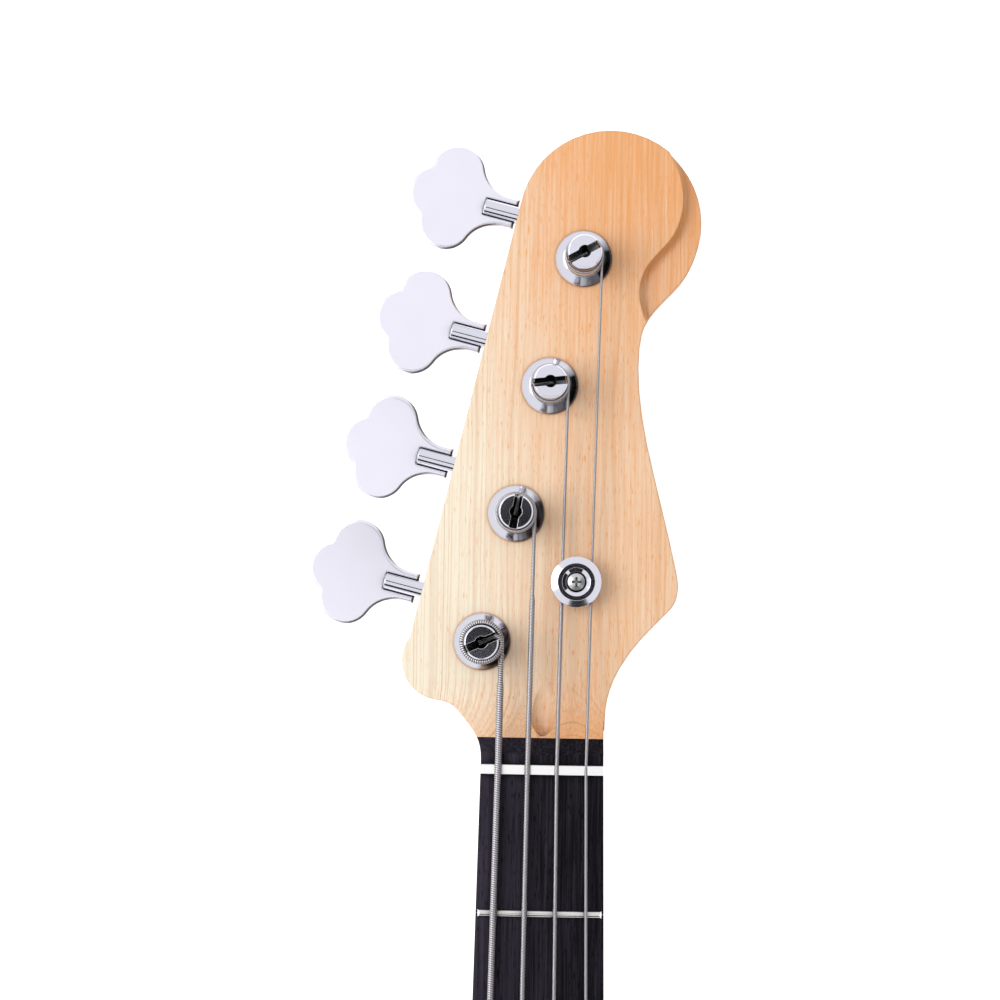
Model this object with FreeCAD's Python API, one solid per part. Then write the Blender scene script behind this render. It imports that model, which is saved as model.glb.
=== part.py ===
import FreeCAD, Part
import math
import os

# Four-string electric bass guitar, in millimetres, lying on its back.
# x runs from the bass side to the treble side, y from the saddles to the nut, z up from the flat back.
# The origin is on the body's back, on the centre line, under the scale line of the saddles.

V = FreeCAD.Vector
ORIGIN = V(0, 0, 0)
X_AXIS = V(1, 0, 0)
Y_AXIS = V(0, 1, 0)
Z_AXIS = V(0, 0, 1)
STRINGS = ("e", "a", "d", "g")
FULL_TURN = 360.0
OVERRUN = 6.0
LEVEL_TOLERANCE = 0.01

# Scale and strings
SCALE_LENGTH = 863.6
FRET_COUNT = 20
FRET_RUNS = 8
FRETS_PER_OCTAVE = 12
NUT_STRING_PITCH = 10.2
BRIDGE_STRING_PITCH = 19.0
STRING_DIAMETER = {"e": 2.45, "a": 1.95, "d": 1.45, "g": 1.1}
TAIL_DIAMETER = {"e": 1.9, "a": 1.3, "d": 1.0, "g": 0.85}
TAPER_START = {"e": 29.0, "a": 59.0, "d": 59.0, "g": 59.0}
TAPER_LENGTH = 2.0
NUT_STRING_RISE = 1.5
SADDLE_STRING_RISE = 5.2
NUT_BEND_RADIUS = 14.0
RETAINER_BEND_RADIUS = 20.0
STRING_CLEARANCE = 0.3
MOUTH_CLEARANCE = 0.25
WRAP_GAP = 0.6
WRAP_TURNS = {"e": 2, "a": 2, "d": 2, "g": 2}
BALL_DIAMETER = 5.4
BALL_LENGTH = 3.4

# Neck and fingerboard
NUT_WIDTH = 42.8
HEEL_WIDTH = 63.6
HEEL_END_Y = 262.0
HEEL_LENGTH = 90.0
HEEL_THICKNESS = 20.4
HEEL_CORNER_RADIUS = 6.0
HEEL_BLEND_LENGTH = 42.0
HEEL_BLEND_SHARES = (0.0, 0.12, 0.32, 0.5, 0.68, 0.88, 1.0)
HEEL_EDGE_RADIUS = 1.0
NECK_DEPTH_NUT = 16.0
NECK_DEPTH_HEEL = 18.9
NECK_SIDE_HEIGHT = 2.0
NECK_BACK_FLAT = 4.0
BEZIER_QUARTER = 0.5523
BOARD_THICKNESS = 5.0
BOARD_RADIUS = 241.0
FRET_WIDTH = 2.6
FRET_CROWN = 1.1
FRET_TANG_WIDTH = 0.6
FRET_TANG_DEPTH = 1.6
FRET_END_INSET = 0.5
FRET_END_BEVEL = 0.8
DOT_DIAMETER = 6.4
DOT_DEPTH = 1.6
DOT_FRETS = (3, 5, 7, 9, 15, 17, 19)
OCTAVE_DOT_PITCH = 24.0
NUT_THICKNESS = 3.2
NUT_SEAT_DEPTH = 2.2
NUT_RISE = 2.4
NUT_SLOT_CLEARANCE = 0.05

# Headstock: outline points are shares of its width (x) and its length from the nut (y)
HEAD_LENGTH = 228.3
HEAD_WIDTH = 102.4
HEAD_THICKNESS = 14.0
HEAD_DROP = 11.4
RAMP_RADIUS = 36.5
RAMP_FOOT = 33.0
BACK_RAMP_FOOT = 40.0
BACK_RAMP_RADIUS = 44.5
BACK_BLEND_WIDTH = 34.0
BACK_BLEND_INSET = 0.05
HEAD_THROAT_SHARES = ((-0.209, 0.022), (-0.227, 0.056), (-0.278, 0.086), (-0.369, 0.109))
HEAD_CHEEK_SHARES = ((-0.369, 0.109), (-0.462, 0.133), (-0.462, 0.206))
HEAD_TIP_SHARES = ((-0.106, 0.883), (0.208, 1.0), (0.516, 0.823))
HEAD_TREBLE_SHARES = (
    (0.516, 0.823), (0.462, 0.768), (0.386, 0.731), (0.331, 0.694), (0.312, 0.644), (0.326, 0.556),
    (0.397, 0.417), (0.449, 0.322), (0.459, 0.281), (0.446, 0.262), (0.417, 0.246), (0.366, 0.223),
    (0.315, 0.197), (0.273, 0.170), (0.239, 0.140), (0.223, 0.117), (0.215, 0.094), (0.212, 0.066),
    (0.209, 0.022),
)
RELIEF_EDGE_SHARES = (
    (0.371, 0.986), (0.433, 0.948), (0.459, 0.899), (0.425, 0.836), (0.332, 0.784), (0.312, 0.751),
    (0.336, 0.702), (0.355, 0.683),
)
RELIEF_DEPTH = 4.5
RELIEF_COVE_RADIUS = 3.0
SCOOP_RADIUS = 3.8
SCOOP_START_Y = 17.0
SCOOP_START_RISE = 2.6
SCOOP_END_Y = 40.0
SCOOP_END_RISE = 4.6

# Truss rod
ROD_WIDTH = 6.0
ROD_HEIGHT = 8.8
ROD_START_INSET = 20.0
ROD_NUT_RADIUS = 3.1
ROD_NUT_LENGTH = 11.0
ROD_NUT_BACK_Y = -6.0
ROD_SOCKET_RADIUS = 2.3
ROD_SOCKET_DEPTH = 6.0
ROD_CLEARANCE = 0.1
HEX_SIDES = 6

# Tuning machines: local frame has the post on z, the key along -x and the worm axis at +y
POST_PITCH = 46.88
POST_LINE_DEG = 13.85
POST_E_X = -21.87
POST_E_Y = 45.71
POST_HEIGHT = 20.5
POST_TOP_RADIUS = 6.05
POST_WAIST_RADIUS = 5.65
POST_COLLAR_RADIUS = 6.6
POST_COLLAR_HEIGHT = 4.4
POST_WAIST_START = 6.2
POST_WAIST_END = 15.6
POST_CAP_START = 17.4
POST_CHAMFER = 0.5
POST_SHAFT_RADIUS = 5.0
POST_TAIL_RADIUS = 3.5
POST_SLOT_WIDTH = 2.8
POST_SLOT_FLOOR = 11.0
POST_SLOT_STRING_RISE = 12.6
POST_HOLE_RADIUS = 2.2
POST_HOLE_FLOOR = 8.0
POST_SLOT_DEG = {"e": 24.0, "a": 80.0, "d": 186.0, "g": 209.0}
RUNNING_CLEARANCE = 0.05
BUSHING_FLANGE_RADIUS = 10.1
BUSHING_FLANGE_EDGE = 0.7
BUSHING_COLLAR_RADIUS = 7.3
BUSHING_COLLAR_HEIGHT = 3.0
BUSHING_TOP_HEIGHT = 3.5
BUSHING_MOUTH_RADIUS = 6.8
BUSHING_BARREL_RADIUS = 8.5
BUSHING_BARREL_DEPTH = 10.0
PLATE_THICKNESS = 1.6
PLATE_BACK = 22.0
PLATE_FRONT = 17.0
PLATE_LOW = 14.0
PLATE_HIGH = 20.0
PLATE_CORNER_RADIUS = 4.0
PLATE_SCREW_INSET = 4.0
PLATE_SCREW_HEAD_RADIUS = 2.7
PLATE_SCREW_HEAD_HEIGHT = 1.6
PLATE_SCREW_RADIUS = 1.4
PLATE_SCREW_DEPTH = 9.0
GEAR_MODULE = 0.85
GEAR_TEETH = 20
GEAR_THICKNESS = 4.8
GEAR_ADDENDUM = 0.75
GEAR_DEDENDUM = 0.95
GEAR_ROOT_TOOTH_SHARE = 0.52
GEAR_TIP_TOOTH_SHARE = 0.26
GEAR_SCREW_RADIUS = 3.4
GEAR_SCREW_HEIGHT = 1.8
GEAR_SCREW_SLOT_WIDTH = 0.9
GEAR_SCREW_SLOT_DEPTH = 0.9
WORM_PITCH_RADIUS = 3.5
WORM_OUTER_RADIUS = 4.2
WORM_CORE_RADIUS = 2.6
WORM_ROOT_SINK = 0.1
WORM_TURNS = 4
WORM_STEPS_PER_TURN = 12
WORM_PLATE_GAP = 1.2
WORM_ROOT_TOOTH_SHARE = 0.5
WORM_TIP_TOOTH_SHARE = 0.24
WORM_COLLAR_RADIUS = 3.6
WORM_COLLAR_LENGTH = 0.5
WORM_COLLAR_GAP = 0.15
LUG_START = 7.4
LUG_THICKNESS = 2.2
LUG_RADIUS = 4.8
JOURNAL_RADIUS = 2.4
BARREL_RADIUS = 3.3
BARREL_END = 40.0
BARREL_CHAMFER = 0.4
BARREL_GAP = 0.3
KEY_PRONG_START = 28.0
KEY_PRONG_HALF_WIDTH = 5.5
KEY_WAIST_RADIUS = 12.0
KEY_LOBE_RADIUS = 9.8
KEY_SIDE_LOBE_REACH = 52.3
KEY_SIDE_LOBE_SPREAD = 9.45
KEY_END_LOBE_REACH = 58.2
KEY_VALLEY_RADIUS = 2.5
KEY_THICKNESS = 3.0
KEY_EDGE_RADIUS = 1.1
KEY_REST_DEG = {"e": 4.0, "a": 8.0, "d": -3.0, "g": -3.0}

# String retainer
RETAINER_X = 10.99
RETAINER_Y = 67.31
RETAINER_RADIUS = 8.9
RETAINER_FOOT_RADIUS = 5.0
RETAINER_FOOT_HEIGHT = 1.6
RETAINER_WAIST_RADIUS = 3.6
RETAINER_UNDERSIDE = 5.2
RETAINER_RIM_UNDERSIDE = 6.5
RETAINER_RIM_HEIGHT = 7.3
RETAINER_TOP_HEIGHT = 8.2
RETAINER_RING_RADIUS = 6.6
RETAINER_DISH_RADIUS = 5.0
RETAINER_DISH_HEIGHT = 6.9
RETAINER_SCREW_HEAD_RADIUS = 3.0
RETAINER_SCREW_HEAD_HEIGHT = 1.5
RETAINER_SCREW_RADIUS = 1.5
RETAINER_SCREW_DEPTH = 10.0

# Body: outline points are shares of its width (x) and of its length from the tail (y)
BODY_THICKNESS = 45.0
BODY_LENGTH = 530.0
BODY_WIDTH = 330.0
BODY_TAIL_Y = -97.0
BODY_EDGE_SHARE = 0.0242
POCKET_DEPTH = 16.0
POCKET_CLEARANCE = 0.1
STRAP_HORN_SHARES = (-0.364, 0.998)
BODY_OUTLINE_SHARES = (
    (0.0, 0.0), (0.188, 0.009), (0.358, 0.066), (0.455, 0.168), (0.476, 0.287), (0.424, 0.406),
    (0.361, 0.504), (0.342, 0.594), (0.376, 0.696), (0.418, 0.796), (0.424, 0.881), (0.370, 0.930),
    (0.291, 0.908), (0.230, 0.847), (0.158, 0.813), (0.061, 0.806), (-0.061, 0.836), (-0.158, 0.851),
    (-0.236, 0.889), (-0.297, 0.960), STRAP_HORN_SHARES, (-0.442, 0.983), (-0.476, 0.909),
    (-0.455, 0.796), (-0.403, 0.677), (-0.379, 0.570), (-0.406, 0.457), (-0.470, 0.334),
    (-0.503, 0.211), (-0.455, 0.089), (-0.318, 0.017), (-0.158, 0.0),
)
ARM_CONTOUR_RADIUS = 300.0
ARM_CONTOUR_DEPTH = 16.0
ARM_CONTOUR_SHARES = (-0.509, 0.2208)
ARM_CONTOUR_DEG = 12.0
BELLY_CONTOUR_RADIUS = 360.0
BELLY_CONTOUR_DEPTH = 20.0
BELLY_CONTOUR_SHARES = (-0.4848, 0.5415)
NECK_SCREW_SPREAD_X = 38.0
NECK_SCREW_SPREAD_Y = 51.0
NECK_SCREW_RADIUS = 2.4
NECK_SCREW_HEAD_RADIUS = 4.4
NECK_SCREW_HEAD_HEIGHT = 2.2
NECK_SCREW_BITE = 14.0
NECK_FERRULE_RADIUS = 7.0
NECK_FERRULE_HEIGHT = 4.0
NECK_FERRULE_SINK = 0.4
STRAP_BUTTON_RADIUS = 7.0
STRAP_BUTTON_WAIST = 4.2
STRAP_BUTTON_HEIGHT = 11.0
STRAP_BUTTON_CAP = 3.0
STRAP_BUTTON_BASE = 2.2
STRAP_SEAT_DEPTH = 0.8
STRAP_SCREW_RADIUS = 2.0
STRAP_SCREW_HEAD_RADIUS = 3.6
STRAP_SCREW_HEAD_HEIGHT = 2.0
STRAP_SCREW_BITE = 20.0

# Pickguard and pickup
GUARD_THICKNESS = 2.4
GUARD_BEVEL = 1.4
GUARD_NECK_CLEARANCE = 0.4
GUARD_OUTLINE_SHARES = (
    (-0.103, 0.798), (-0.212, 0.791), (-0.297, 0.730), (-0.306, 0.655), (-0.279, 0.583),
    (-0.227, 0.534), (-0.194, 0.475), (-0.182, 0.409), (-0.136, 0.366), (-0.030, 0.353),
    (0.085, 0.357), (0.152, 0.326), (0.182, 0.258), (0.215, 0.183), (0.267, 0.126), (0.339, 0.115),
    (0.394, 0.157), (0.406, 0.230), (0.376, 0.325), (0.327, 0.419), (0.297, 0.504), (0.294, 0.589),
    (0.321, 0.683), (0.355, 0.768), (0.333, 0.821), (0.267, 0.813), (0.188, 0.768), (0.103, 0.753),
)
GUARD_SCREW_SHARES = (
    (-0.206, 0.778), (-0.291, 0.660), (-0.184, 0.494), (-0.118, 0.378), (0.086, 0.372), (0.197, 0.255),
    (0.272, 0.142), (0.388, 0.190), (0.361, 0.336), (0.285, 0.500), (0.309, 0.690), (0.324, 0.803),
    (0.118, 0.738),
)
SMALL_SCREW_HEAD_RADIUS = 2.6
SMALL_SCREW_HEAD_HEIGHT = 1.5
SMALL_SCREW_RADIUS = 1.4
SMALL_SCREW_BITE = 10.0
PICKUP_LENGTH = 56.0
PICKUP_WIDTH = 28.0
PICKUP_CORNER_RADIUS = 5.0
PICKUP_EDGE_RADIUS = 1.5
PICKUP_WALL = 1.5
PICKUP_RISE = 6.2
PICKUP_SKIRT = 6.0
PICKUP_BASS_Y = 166.0
PICKUP_TREBLE_Y = 137.0
PICKUP_EAR_RADIUS = 5.0
PICKUP_EAR_THICKNESS = 1.6
PICKUP_EAR_REACH = 4.0
PICKUP_CLEARANCE = 0.4
PICKUP_CAVITY_MARGIN = 1.5
PICKUP_CAVITY_DEPTH = 18.0
POLE_RADIUS = 2.4
POLE_SPREAD = 9.0
POLE_RISE = 0.8
POLE_CLEARANCE = 0.1
SLIDE_FIT = 0.03
DRIVE_REACH_SHARE = 0.56
DRIVE_WIDTH_SHARE = 0.26
DRIVE_DEPTH_SHARE = 0.6
POLE_LENGTH = 18.0
COIL_CLEARANCE = 0.3

# Controls and output jack
VOLUME_SHARES = (0.254545, 0.341509)
TONE_SHARES = (0.293939, 0.254717)
JACK_SHARES = (0.327273, 0.167925)
CAVITY_RADIUS = 17.0
CAVITY_DEPTH = 34.0
POT_RADIUS = 12.0
POT_HEIGHT = 9.0
POT_BUSHING_RADIUS = 4.7
POT_BUSHING_RISE = 5.4
POT_SHAFT_RADIUS = 3.0
POT_SHAFT_SEAT = 2.0
CONTROL_NUT_RADIUS = 7.4
CONTROL_NUT_HEIGHT = 2.2
KNOB_RADIUS = 9.6
KNOB_HEIGHT = 16.0
KNOB_GAP = 0.6
KNOB_SKIRT_RADIUS = 7.9
KNOB_SKIRT_DEPTH = 5.5
KNOB_EDGE_RADIUS = 1.2
KNOB_BORE_DEPTH = 12.5
JACK_BORE_RADIUS = 3.25
JACK_RISE = 3.4
JACK_FLANGE_RADIUS = 8.0
JACK_FLANGE_THICKNESS = 1.5
JACK_BARREL_DEPTH = 14.0
JACK_BARREL_RADIUS = 5.8
JACK_RIM_RADIUS = 5.0
JACK_ARM_WIDTH = 5.0
JACK_ARM_THICKNESS = 1.0
JACK_ARM_REACH = 6.4
JACK_ARM_DROP = 24.0
CAPACITOR_RADIUS = 4.5
CAPACITOR_THICKNESS = 3.0
CAPACITOR_OFFSET = 6.0
WIRE_RADIUS = 0.7
WIRE_LEVEL_DROP = 7.0
WIRE_BEND_RADIUS = 4.0
WIRE_CORNER = V(43.0, 100.0, 0)
WIRE_JUMPER_X = 0.0
CHANNEL_RADIUS = 3.5

# Bridge
BRIDGE_LENGTH = 56.0
BRIDGE_WIDTH = 84.0
BRIDGE_FRONT_Y = 20.0
BRIDGE_THICKNESS = 2.0
BRIDGE_LIP_HEIGHT = 15.0
BRIDGE_CORNER_RADIUS = 4.0
BRIDGE_BEND_RADIUS = 2.5
BRIDGE_STRING_HOLE_RADIUS = 1.9
BRIDGE_STRING_HOLE_RISE = 5.5
BRIDGE_SCREW_Y = 14.0
BRIDGE_SCREW_PITCH = 18.0
BRIDGE_SCREW_COUNT = 5
BRIDGE_SCREW_HEAD_RADIUS = 3.2
BRIDGE_SCREW_HEAD_HEIGHT = 1.7
BRIDGE_SCREW_RADIUS = 1.7
BRIDGE_SCREW_BITE = 18.0
SADDLE_RADIUS = 4.4
SADDLE_LENGTH = 17.6
SADDLE_GROOVE_DEPTH = 0.6
SADDLE_STRING_GAP = 0.3
SADDLE_GROOVE_CLEARANCE = 0.4
SADDLE_CHAMFER = 0.5
SADDLE_SETBACK = {"e": 5.0, "a": 3.6, "d": 2.2, "g": 1.0}
HEIGHT_SCREW_RADIUS = 1.2
HEIGHT_SCREW_SPREAD = 7.2
HEIGHT_SCREW_RISE = 3.6
HEIGHT_SCREW_GAP = 0.02
INTONATION_OFFSET = -4.2
INTONATION_RADIUS = 1.4
INTONATION_HEAD_RADIUS = 2.2
INTONATION_HEAD_HEIGHT = 2.0
INTONATION_REACH = 6.0
INTONATION_CLEARANCE = 0.06
SPRING_RADIUS = 1.85
SPRING_WIRE = 0.6
SPRING_COILS = 6
SPRING_SEAT_GAP = 0.05
SPRING_BEND_RADIUS = 0.7
SPRING_SEAT_RADIUS = 2.8
SPRING_SEAT_DEPTH = 1.3

# Levels and places that follow from the sizes above
POCKET_Z = BODY_THICKNESS - POCKET_DEPTH
NECK_TOP_Z = POCKET_Z + HEEL_THICKNESS
BOARD_TOP_Z = NECK_TOP_Z + BOARD_THICKNESS
FACE_Z = BOARD_TOP_Z - HEAD_DROP
HEAD_BACK_Z = FACE_Z - HEAD_THICKNESS
GUARD_TOP_Z = BODY_THICKNESS + GUARD_THICKNESS
PLATE_Z = HEAD_BACK_Z - PLATE_THICKNESS
WORM_Z = PLATE_Z - WORM_PLATE_GAP - WORM_OUTER_RADIUS
GEAR_RADIUS = GEAR_MODULE * GEAR_TEETH / 2
WORM_Y = GEAR_RADIUS + WORM_PITCH_RADIUS
WORM_LEAD = math.pi * GEAR_MODULE
GEAR_BASE_Z = WORM_Z - GEAR_THICKNESS / 2
HEEL_FRONT_Y = HEEL_END_Y + HEEL_LENGTH
BRIDGE_LIP_Y = BRIDGE_FRONT_Y - BRIDGE_LENGTH
BRIDGE_TOP_Z = BODY_THICKNESS + BRIDGE_THICKNESS


# General helpers

def cylinder(radius, start, end):
    """Cylinder between two points."""
    return Part.makeCylinder(radius, (end - start).Length, start, end - start)


def block(x0, x1, y0, y1, z0, z1):
    """Box between two corners."""
    return Part.makeBox(x1 - x0, y1 - y0, z1 - z0, V(x0, y0, z0))


def rod(radius, place, z0, z1):
    """Upright cylinder at a place, between two levels."""
    return cylinder(radius, V(place.x, place.y, z0), V(place.x, place.y, z1))


def turned(profile):
    """Solid of revolution about z from (radius, level) points."""
    points = [V(radius, 0, level) for radius, level in profile]
    face = Part.Face(Part.makePolygon(points + points[:1]))
    return face.revolve(ORIGIN, Z_AXIS, FULL_TURN)


def prism(wire, z0, z1):
    """Upright prism over a wire drawn at level zero."""
    solid = Part.Face(wire).extrude(V(0, 0, z1 - z0))
    solid.translate(V(0, 0, z0))
    return solid


def spline(points, first=None, last=None):
    """Smooth edge through points, with given end directions where two pieces join."""
    curve = Part.BSplineCurve()
    if first and last:
        curve.interpolate(Points=points, InitialTangent=first, FinalTangent=last)
    else:
        curve.interpolate(Points=points)
    return curve.toShape()


def closed_spline(points):
    """Smooth closed wire through points."""
    curve = Part.BSplineCurve()
    curve.interpolate(Points=points, PeriodicFlag=True)
    return Part.Wire(curve.toShape())


def line(start, end):
    """Straight edge."""
    return Part.LineSegment(start, end).toShape()


def arc(start, middle, end):
    """Circular edge through three points."""
    return Part.Arc(start, middle, end).toShape()


def arc_middle(start, direction, end):
    """Middle point of the circular edge that leaves start in a direction and reaches end."""
    chord = end - start
    along = V(chord).normalize()
    side = direction - along * direction.dot(along)
    half_turn = math.acos(max(-1.0, min(1.0, direction.dot(along))))
    return start + chord * 0.5 + side.normalize() * (chord.Length / 2 * math.tan(half_turn / 2))


def biarc(start, first, end, last):
    """Two tangent arcs between two points with given directions."""
    gap = end - start
    both = first + last
    bend = 2 * (1 - first.dot(last))
    reach = (-gap.dot(both) + math.sqrt(gap.dot(both) ** 2 + bend * gap.dot(gap))) / bend
    joint = (start + first * reach + end - last * reach) * 0.5
    return [arc(start, arc_middle(start, first, joint), joint),
            arc(joint, arc_middle(end, last * -1, joint), end)]


def rounded_run(points, radii):
    """Straight runs through points, with a tangent arc at each inner point."""
    edges = []
    start = points[0]
    for before, corner, after, radius in zip(points, points[1:], points[2:], radii):
        into = (corner - before).normalize()
        out = (after - corner).normalize()
        half_turn = into.getAngle(out) / 2
        reach = radius * math.tan(half_turn)
        inward = (out - into).normalize()
        middle = corner + inward * (radius / math.cos(half_turn) - radius)
        edges.append(line(start, corner - into * reach))
        edges.append(arc(corner - into * reach, middle, corner + out * reach))
        start = corner + out * reach
    edges.append(line(start, points[-1]))
    return edges


def tube(edges, diameter):
    """Round tube along joined edges."""
    wire = Part.Wire(edges)
    first = edges[0]
    heading = first.tangentAt(first.FirstParameter)
    start = first.valueAt(first.FirstParameter)
    ring = Part.Wire(Part.makeCircle(diameter / 2, start, heading))
    pipe = Part.BRepOffsetAPI.MakePipeShell(wire)
    pipe.add(ring)
    pipe.build()
    pipe.makeSolid()
    return pipe.shape()


def least_gap(edges, diameter):
    """Least distance between the surfaces of two turns of one tube, on points along it."""
    step = diameter / 2
    points = []
    for edge in edges:
        count = max(2, int(edge.Length / step))
        points.extend(edge.discretize(count)[:-1])
    apart = int(math.pi * diameter / step)
    gaps = [a.distanceToPoint(b) for i, a in enumerate(points) for b in points[i + apart:]]
    return min(gaps) - diameter


def merged(pieces):
    """One solid from touching or overlapping pieces."""
    solid = pieces[0].fuse(pieces[1:]).removeSplitter()
    return solid


def hexagon(radius, place, z0, z1):
    """Six-sided prism, radius to its corners."""
    corners = []
    for side in range(HEX_SIDES + 1):
        angle = 2 * math.pi * side / HEX_SIDES
        corners.append(V(place.x + radius * math.cos(angle), place.y + radius * math.sin(angle), 0))
    return prism(Part.makePolygon(corners), z0, z1)


def rounded_rectangle(x0, x1, y0, y1, radius):
    """Flat wire with four round corners, at level zero."""
    solid = block(x0, x1, y0, y1, 0, radius)
    uprights = [edge for edge in solid.Edges if abs(edge.tangentAt(edge.FirstParameter).z) > 0.5]
    rounded = solid.makeFillet(radius, uprights)
    floor = min(rounded.Faces, key=lambda f: f.CenterOfMass.z)
    return floor.OuterWire


def edges_at(shape, level):
    """Edges that lie wholly at one level."""
    flat = []
    for edge in shape.Edges:
        box = edge.BoundBox
        if abs(box.ZMin - level) < LEVEL_TOLERANCE and abs(box.ZMax - level) < LEVEL_TOLERANCE:
            flat.append(edge)
    return flat


def screw(head_radius, head_height, radius, depth):
    """Cross-headed screw on z with the underside of its head at level zero, pointing down."""
    head = turned(((0, 0), (head_radius, 0), (head_radius, head_height / 2),
                   (head_radius / 2, head_height), (0, head_height)))
    reach = head_radius * DRIVE_REACH_SHARE
    half = head_radius * DRIVE_WIDTH_SHARE / 2
    floor = head_height * (1 - DRIVE_DEPTH_SHARE)
    arms = [block(-reach, reach, -half, half, floor, head_height * 2),
            block(-half, half, -reach, reach, floor, head_height * 2)]
    head = head.cut(arms)
    tip = radius * 2
    shank = turned(((0, 0), (radius, 0), (radius, tip - depth), (0, -depth)))
    return merged([head, shank])


def bore_for_screw(radius, depth):
    """Hole for such a screw's shank, on z below level zero."""
    tip = radius * 2
    return turned(((0, OVERRUN), (radius, OVERRUN), (radius, tip - depth), (0, -depth)))


def moved(shape, place, axis=Z_AXIS, degrees=0.0):
    """Copy of a shape, turned about an axis through the origin and then moved."""
    copy = shape.copy()
    copy.rotate(ORIGIN, axis, degrees)
    copy.translate(place)
    return copy


def save(name, shapes):
    """Write one named piece, or one group of like pieces."""
    solids = [solid for shape in shapes for solid in shape.Solids]
    whole = solids[0] if len(solids) == 1 else Part.makeCompound(solids)
    broken = [solid for solid in solids if not solid.isValid() or solid.Volume <= 0]
    print(name, len(solids), "solids", round(whole.Volume, 1), "mm3", "BROKEN" if broken else "")
    whole.exportStep("parts/" + name + ".step")


# Shared lines of the neck, the headstock and the strings

def from_nut(x, y, z=0.0):
    """Point given from the nut's front face."""
    return V(x, SCALE_LENGTH + y, z)


def neck_width(y):
    """Width of the neck at a place along it."""
    share = (y - HEEL_END_Y) / (SCALE_LENGTH - HEEL_END_Y)
    return HEEL_WIDTH + (NUT_WIDTH - HEEL_WIDTH) * share


def fret_y(number):
    """Place of a fret's centre, by equal temperament."""
    return SCALE_LENGTH / 2 ** (number / FRETS_PER_OCTAVE)


def board_sag(x):
    """Fall of the fingerboard's crown at a distance from its centre line."""
    return BOARD_RADIUS - math.sqrt(BOARD_RADIUS ** 2 - x ** 2)


def head_point(shares):
    """Point of the headstock's outline at level zero."""
    return from_nut(shares[0] * HEAD_WIDTH, shares[1] * HEAD_LENGTH)


def head_outline():
    """Closed outline of the headstock: throat, cheek, straight tuner side, round tip, scrolled side."""
    throat, cheek, tip, treble = (
        [head_point(pair) for pair in shares]
        for shares in (HEAD_THROAT_SHARES, HEAD_CHEEK_SHARES, HEAD_TIP_SHARES, HEAD_TREBLE_SHARES)
    )
    cheek_arc = arc(*cheek)
    tip_arc = arc(*tip)
    cheek_heading = cheek_arc.tangentAt(cheek_arc.FirstParameter)
    tip_heading = tip_arc.tangentAt(tip_arc.LastParameter)
    return Part.Wire([
        spline(throat, Y_AXIS, cheek_heading), cheek_arc, line(cheek[-1], tip[0]), tip_arc,
        spline(treble, tip_heading, Y_AXIS * -1), line(treble[-1], throat[0]),
    ])


def post_place(name):
    """Centre of a string's tuner post, at level zero."""
    along = POST_PITCH * STRINGS.index(name)
    lean = math.radians(POST_LINE_DEG)
    return from_nut(POST_E_X + along * math.sin(lean), POST_E_Y + along * math.cos(lean))


def at_tuner(shape, name):
    """Copy of a piece drawn in a tuner's own frame, put in its place on the headstock."""
    return moved(shape, post_place(name), Z_AXIS, -POST_LINE_DEG)


def ramp_cut():
    """What is sawn away above the headstock's face, with the round ramp up to the fingerboard."""
    foot = from_nut(0, RAMP_FOOT).y
    tip = from_nut(0, HEAD_LENGTH + OVERRUN).y
    above = block(-HEAD_WIDTH, HEAD_WIDTH, foot, tip, FACE_Z, BOARD_TOP_Z + OVERRUN)
    round_z = FACE_Z + RAMP_RADIUS
    roller = cylinder(RAMP_RADIUS, V(-HEAD_WIDTH, foot, round_z), V(HEAD_WIDTH, foot, round_z))
    return above.fuse(roller)


# Neck

def neck_section(y, width, depth, side, flat):
    """Closed section of the neck across y: flat top, short sides and a round back."""
    half = width / 2
    back = NECK_TOP_Z - depth
    shoulder = NECK_TOP_Z - side
    drop = BEZIER_QUARTER * (depth - side)
    run = BEZIER_QUARTER * (half - flat / 2)
    edges = [line(V(-half, y, NECK_TOP_Z), V(half, y, NECK_TOP_Z))]
    edges.append(line(V(half, y, NECK_TOP_Z), V(half, y, shoulder)))
    right = Part.BezierCurve()
    right.setPoles([V(half, y, shoulder), V(half, y, shoulder - drop),
                    V(flat / 2 + run, y, back), V(flat / 2, y, back)])
    left = Part.BezierCurve()
    left.setPoles([V(-flat / 2, y, back), V(-flat / 2 - run, y, back),
                   V(-half, y, shoulder - drop), V(-half, y, shoulder)])
    edges.append(right.toShape())
    edges.append(line(V(flat / 2, y, back), V(-flat / 2, y, back)))
    edges.append(left.toShape())
    edges.append(line(V(-half, y, shoulder), V(-half, y, NECK_TOP_Z)))
    return Part.Wire(edges)


def blend(start, end, share):
    """Value between two others at a share of the way."""
    return start + (end - start) * share


def heel_plan(margin):
    """Outline of the neck's heel at level zero, grown by a margin."""
    rear = HEEL_END_Y - margin
    front = HEEL_FRONT_Y
    corners = [V(-neck_width(rear) / 2 - margin, rear, 0), V(neck_width(rear) / 2 + margin, rear, 0),
               V(neck_width(front) / 2 + margin, front, 0), V(-neck_width(front) / 2 - margin, front, 0)]
    solid = prism(Part.makePolygon(corners + corners[:1]), 0, HEEL_THICKNESS)
    uprights = []
    for edge in solid.Edges:
        upright = edge.BoundBox.ZLength > HEEL_THICKNESS / 2
        if upright and edge.BoundBox.YMax < HEEL_END_Y + HEEL_CORNER_RADIUS:
            uprights.append(edge)
    rounded = solid.makeFillet(HEEL_CORNER_RADIUS + margin, uprights)
    return min(rounded.Faces, key=lambda face: face.CenterOfMass.z).OuterWire


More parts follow.
